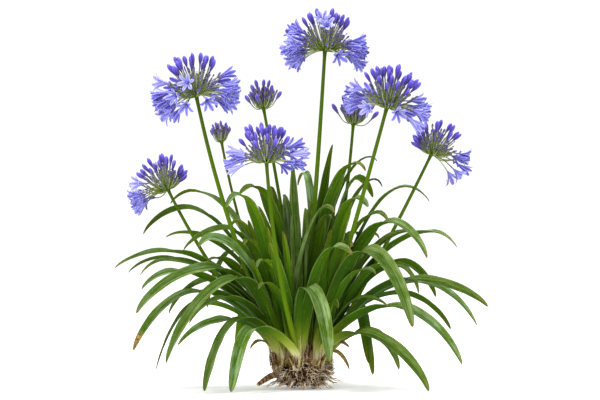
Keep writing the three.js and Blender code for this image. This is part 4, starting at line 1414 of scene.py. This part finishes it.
# %% [markdown]
# The loose roots follow the solid's: each leaves the ball low down and reaches out over the ground, and three
# thinner ones go with it. More fibres, of rotten leaf bases, stand up between the shoots and round their
# feet.

# %% Loose roots and the crown
LOOSE_ROOTS = [
    (355, 84, 13), (326, 78, 3), (300, 72, 5), (272, 70, 2), (248, 72, 4), (222, 76, 2), (170, 80, 3),
    (140, 76, 9), (112, 74, 2), (84, 76, 4), (56, 78, 3), (28, 80, 8), (338, 82, 28), (285, 76, 24),
    (235, 76, 26), (120, 78, 28), (60, 80, 26),
]  # turn in degrees, reach, height
BETWEEN_SHOOTS = [(16, -22), (-16, -14), (24, 16), (-22, 20), (2, 22), (16, -4), (-44, -12), (44, -20)]


def loose_line(i, twin, turn, reach, height):
    way_x, way_y = math.cos(math.radians(turn)), math.sin(math.radians(turn))
    later = 0.33 * twin
    spread = math.radians(14 * (draw(i, 220 + twin) - 0.5) * twin)
    cos, sin = math.cos(spread), math.sin(spread)
    way = np.array([way_x * cos - way_y * sin, way_x * sin + way_y * cos, 0])
    tip, z = reach * mix(1.0, 0.8, later), max(height * mix(1, 0.6, later), 1.5)
    handles = [(0.55 * reach, height + 14), (0.8 * tip, z + 8), (tip, z)]
    centre = np.array([BALL_CENTRE.x, BALL_CENTRE.y, 0])
    points = bezier(*[centre + way * out + (0, 0, rise) for out, rise in handles], count=12)
    points = crooked(points, i * 4 + twin, 230, 1.6)
    return root_line(points, mix(2.3, 0.9, later), 0.2, mix(0.3, 1, draw(i + twin, 240)))


def crown_line(i, x, y):
    turn, out = 2 * math.pi * draw(i, 250), mix(2, 17, draw(i, 251))
    way = np.array([math.cos(turn), math.sin(turn), 0])
    foot = np.array([x, y, mix(42, 66, draw(i, 252))]) + way * out
    rise, flare = mix(6, 46, draw(i, 253) ** 1.8), mix(-3, 9, draw(i, 254))
    points = bezier(foot, foot + way * 2 + (0, 0, 0.6 * rise), foot + way * flare + (0, 0, rise), count=7)
    points = crooked(points, i, 256, 1.6)
    return root_line(points, mix(*CROWN_RADII, draw(i, 262) ** 2), 0.3, 0.8 * draw(i, 263))


spots = [*SHOOTS.values(), *BETWEEN_SHOOTS]
loose_lines = [loose_line(i, twin, *root) for i, root in enumerate(LOOSE_ROOTS) for twin in range(4)]
roots = {
    "root_fibres": [fibre_line(i) for i in range(FIBRES)] + loose_lines,
    "crown_fibres": [crown_line(i, *spots[i % len(spots)]) for i in range(CROWN_FIBRES)],
}
for piece_name, lines in roots.items():
    piece = grow(piece_name, line_mesh(piece_name, lines), sweep, Section=round_section(4), Finish=fibre)
    settle(piece, "root_ball")

# %% [markdown]
# The old rhizome creeps through the ball with a ring at every lost leaf, and its broken end sticks out at the
# left. A second stretch of it stands upright and carries the left shoot.

# %% Rhizome
RHIZOME = [((26, 6, 24), 8.5), ((-14, 4, 27), 9), ((-46, -3, 30), 8), ((-60, -7, 25), 7.6),
           ((-73, -10, 17), 5.8), ((-86, -13, 8), 3.8)]  # place, radius
RHIZOME_NECK = [((-44, -2, 82), 9), ((-45, -8, 70), 11), ((-44, -12, 54), 10.5), ((-43, -10, 40), 9),
                ((-44, -5, 30), 7.5)]
BROKEN_END = (0.95, 0.8, 0.55)  # shares of the radius at the last three points


def ringed_line(path, count, rings, broken):
    points, along = even(np.array([at for at, _ in path], float), count)
    girth = np.interp(along, np.linspace(0, 1, len(path)), [radius for _, radius in path])
    turn = along * rings
    ring = np.abs(np.sin(turn + 2.2 * np.sin(turn * 0.31) + 1.1 * np.sin(turn * 0.83)))
    girth *= 0.95 + 0.07 * ring + 0.04 * np.sin(along * 17)
    if broken:
        girth[-3:] *= BROKEN_END
    return line(points, girth, along if broken else 0.9 * along)


rhizome_lines = [ringed_line(RHIZOME, 120, 46, True), ringed_line(RHIZOME_NECK, 70, 24, False)]
rhizome_mesh = line_mesh("rhizome", rhizome_lines)
rhizome = grow("old_rhizome", rhizome_mesh, sweep, Section=round_section(24), Finish=bark)
settle(rhizome, "rhizome")

# %% [markdown]
# Brown scales of dead leaf bases stand round the shoots' feet, and a few old sheaths stand between two
# shoots, where the clump would be open otherwise. Both are swept with the leaf's section, and curl more than
# a leaf.

# %% Dead scales and sheaths
SCALES = 14  # round each shoot
OLD_SHEATHS = [(21, 9, 58, 7.5, 0), (25, 14, 70, 7, 60), (27, 5, 46, 6, 120), (20, 17, 64, 6, 90),
               (28, 12, 52, 6, 30)]  # foot x and y, height, half the width, turn


def scale_line(handles, half_width, blunt, turn, seed, tone):
    """A scale along the handles, whose width goes to nothing at its tip, the later the blunter it is."""
    girth = half_width * np.sqrt(np.maximum(1 - np.linspace(0, 1, 9) ** blunt, 0.003))
    return line(bezier(*handles, count=9), girth, roll=math.radians(turn), seed=seed, tone=tone)


def dead_scale(k, x, y, i):
    turn = 2 * math.pi * (i + 0.8 * draw(i, 300 + k)) / SCALES
    way = np.array([math.cos(turn), math.sin(turn), 0])
    foot = np.array([x, y, SHOOT_FOOT + 4]) + way * 13
    length, flare = mix(12, 42, draw(i, 310 + k) ** 1.7), mix(1, 11, draw(i, 320 + k))
    handles = (foot, foot + way * 3.5 + (0, 0, 0.5 * length), foot + way * flare + (0, 0, length))
    half_width, roll = mix(1.6, 6.2, draw(i, 330 + k)), 70 * (draw(i, 340) - 0.5)
    return scale_line(handles, half_width, 1.8, roll, draw(i, 350 + k), draw(i, 360 + k))


def old_sheath(i, x, y, tall, half_width, turn):
    foot = np.array([x, y, SHOOT_FOOT + 2], float)
    sway = 6 * (draw(i, 370) - 0.5)
    handles = (foot, foot + (sway, 0, 0.5 * tall), foot + (0, -sway, tall))
    return scale_line(handles, half_width, 3, turn, draw(i, 380), 0.5 * draw(i, 390))


scale_lines = [dead_scale(k, *spot, i) for k, spot in enumerate(SHOOTS.values()) for i in range(SCALES)]
scale_lines += [old_sheath(i, *sheath) for i, sheath in enumerate(OLD_SHEATHS)]
curl = {"Section": blade, "Gutter": 0.35, "Wave": 1.2, "Finish": scale_bark}
scales = grow("dead_scales", line_mesh("scales", scale_lines), sweep, **curl)
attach(scales, "root")
print(scales.name, len(scales.data.polygons), "faces")

# %% [markdown]
# ## The studio
# The plant stands on a wide pale floor, with nothing behind it, so that it can be seen from every side. The
# world is white round the horizon, where it meets the floor, and greyer overhead. Large soft lights stand to
# the left, to the right and above, so that no hard shadow falls. The floor glows a little as well: painted
# light that keeps the shadow under the plant pale and the far floor white.

# %% Floor and light
FLOOR_HALF = 30.0  # metres
# The floor's glow is painted light.
FLOOR_PAINTED_GLOW = {"near": 0.22, "far": 0.62}  # keeps the shadow under the leaves pale, and the far floor white
GLOW_FROM, GLOW_TO = 0.6, 2.2  # metres from the plant, between which the glow changes
LIGHTS = {  # place, width, power
    "key": ((-1.4, -1.8, 2.6), 1.2, 65),
    "fill": ((2.2, -1.6, 1.8), 1.2, 18),
    "top": ((0.2, 0.3, 3.0), 1.6, 85),
}
SKY_LOW, SKY_HIGH = 1.05, 0.45


def make_floor():
    mesh = bpy.data.meshes.new("floor")
    corners = [(x * FLOOR_HALF, y * FLOOR_HALF, 0) for x, y in ((-1, -1), (1, -1), (1, 1), (-1, 1))]
    mesh.from_pydata(corners, [], [(0, 1, 2, 3)])
    floor = bpy.data.objects.new("floor", mesh)
    material, tree, shader = finish("pale_floor", roughness=0.9)
    tint = blend(tree, times(tree, speckle(tree, 0.4), 0.2), color("#fbfbfa"), color("#f3f3f1"))
    tree.links.new(tint, shader.inputs["Base Color"])
    # The floor's emission is painted light: a glow that keeps the shadow under the plant pale and the far
    # floor white.
    shader.inputs["Emission Color"].default_value = (1, 1, 1, 1)
    place = add(tree, "ShaderNodeTexCoord").outputs["Object"]
    reach = add(tree, "ShaderNodeVectorMath", {0: place}, operation="LENGTH").outputs["Value"]
    glow = between(tree, reach, GLOW_FROM, GLOW_TO, FLOOR_PAINTED_GLOW["near"], FLOOR_PAINTED_GLOW["far"])
    tree.links.new(glow, shader.inputs["Emission Strength"])
    mesh.materials.append(material)
    bpy.context.scene.collection.objects.link(floor)


def soft_light(name, place, size, power):
    data = bpy.data.lights.new(name, "AREA")
    data.shape = "DISK"
    data.size = size
    data.energy = power
    light = bpy.data.objects.new(name, data)
    light.location = place
    light.rotation_euler = (AIM - Vector(place)).to_track_quat("-Z", "Y").to_euler()
    bpy.context.scene.collection.objects.link(light)


def make_world():
    """A sky of one strength round the horizon and another overhead."""
    world = bpy.data.worlds.new("studio")
    world.use_nodes = True
    tree = world.node_tree
    way = add(tree, "ShaderNodeTexCoord").outputs["Generated"]
    rise = sums(tree, "ABSOLUTE", add(tree, "ShaderNodeSeparateXYZ", {"Vector": way}).outputs["Z"])
    sky = tree.nodes["Background"]
    tree.links.new(between(tree, rise, 0.12, 0.4, SKY_LOW, SKY_HIGH), sky.inputs["Strength"])
    sky.inputs["Color"].default_value = (1, 1, 1, 1)
    bpy.context.scene.world = world


make_floor()
for name, light in LIGHTS.items():
    soft_light(name, *light)
make_world()
bpy.context.scene.view_settings.view_transform = "Standard"
print("studio ready, with", len(LIGHTS), "lights")
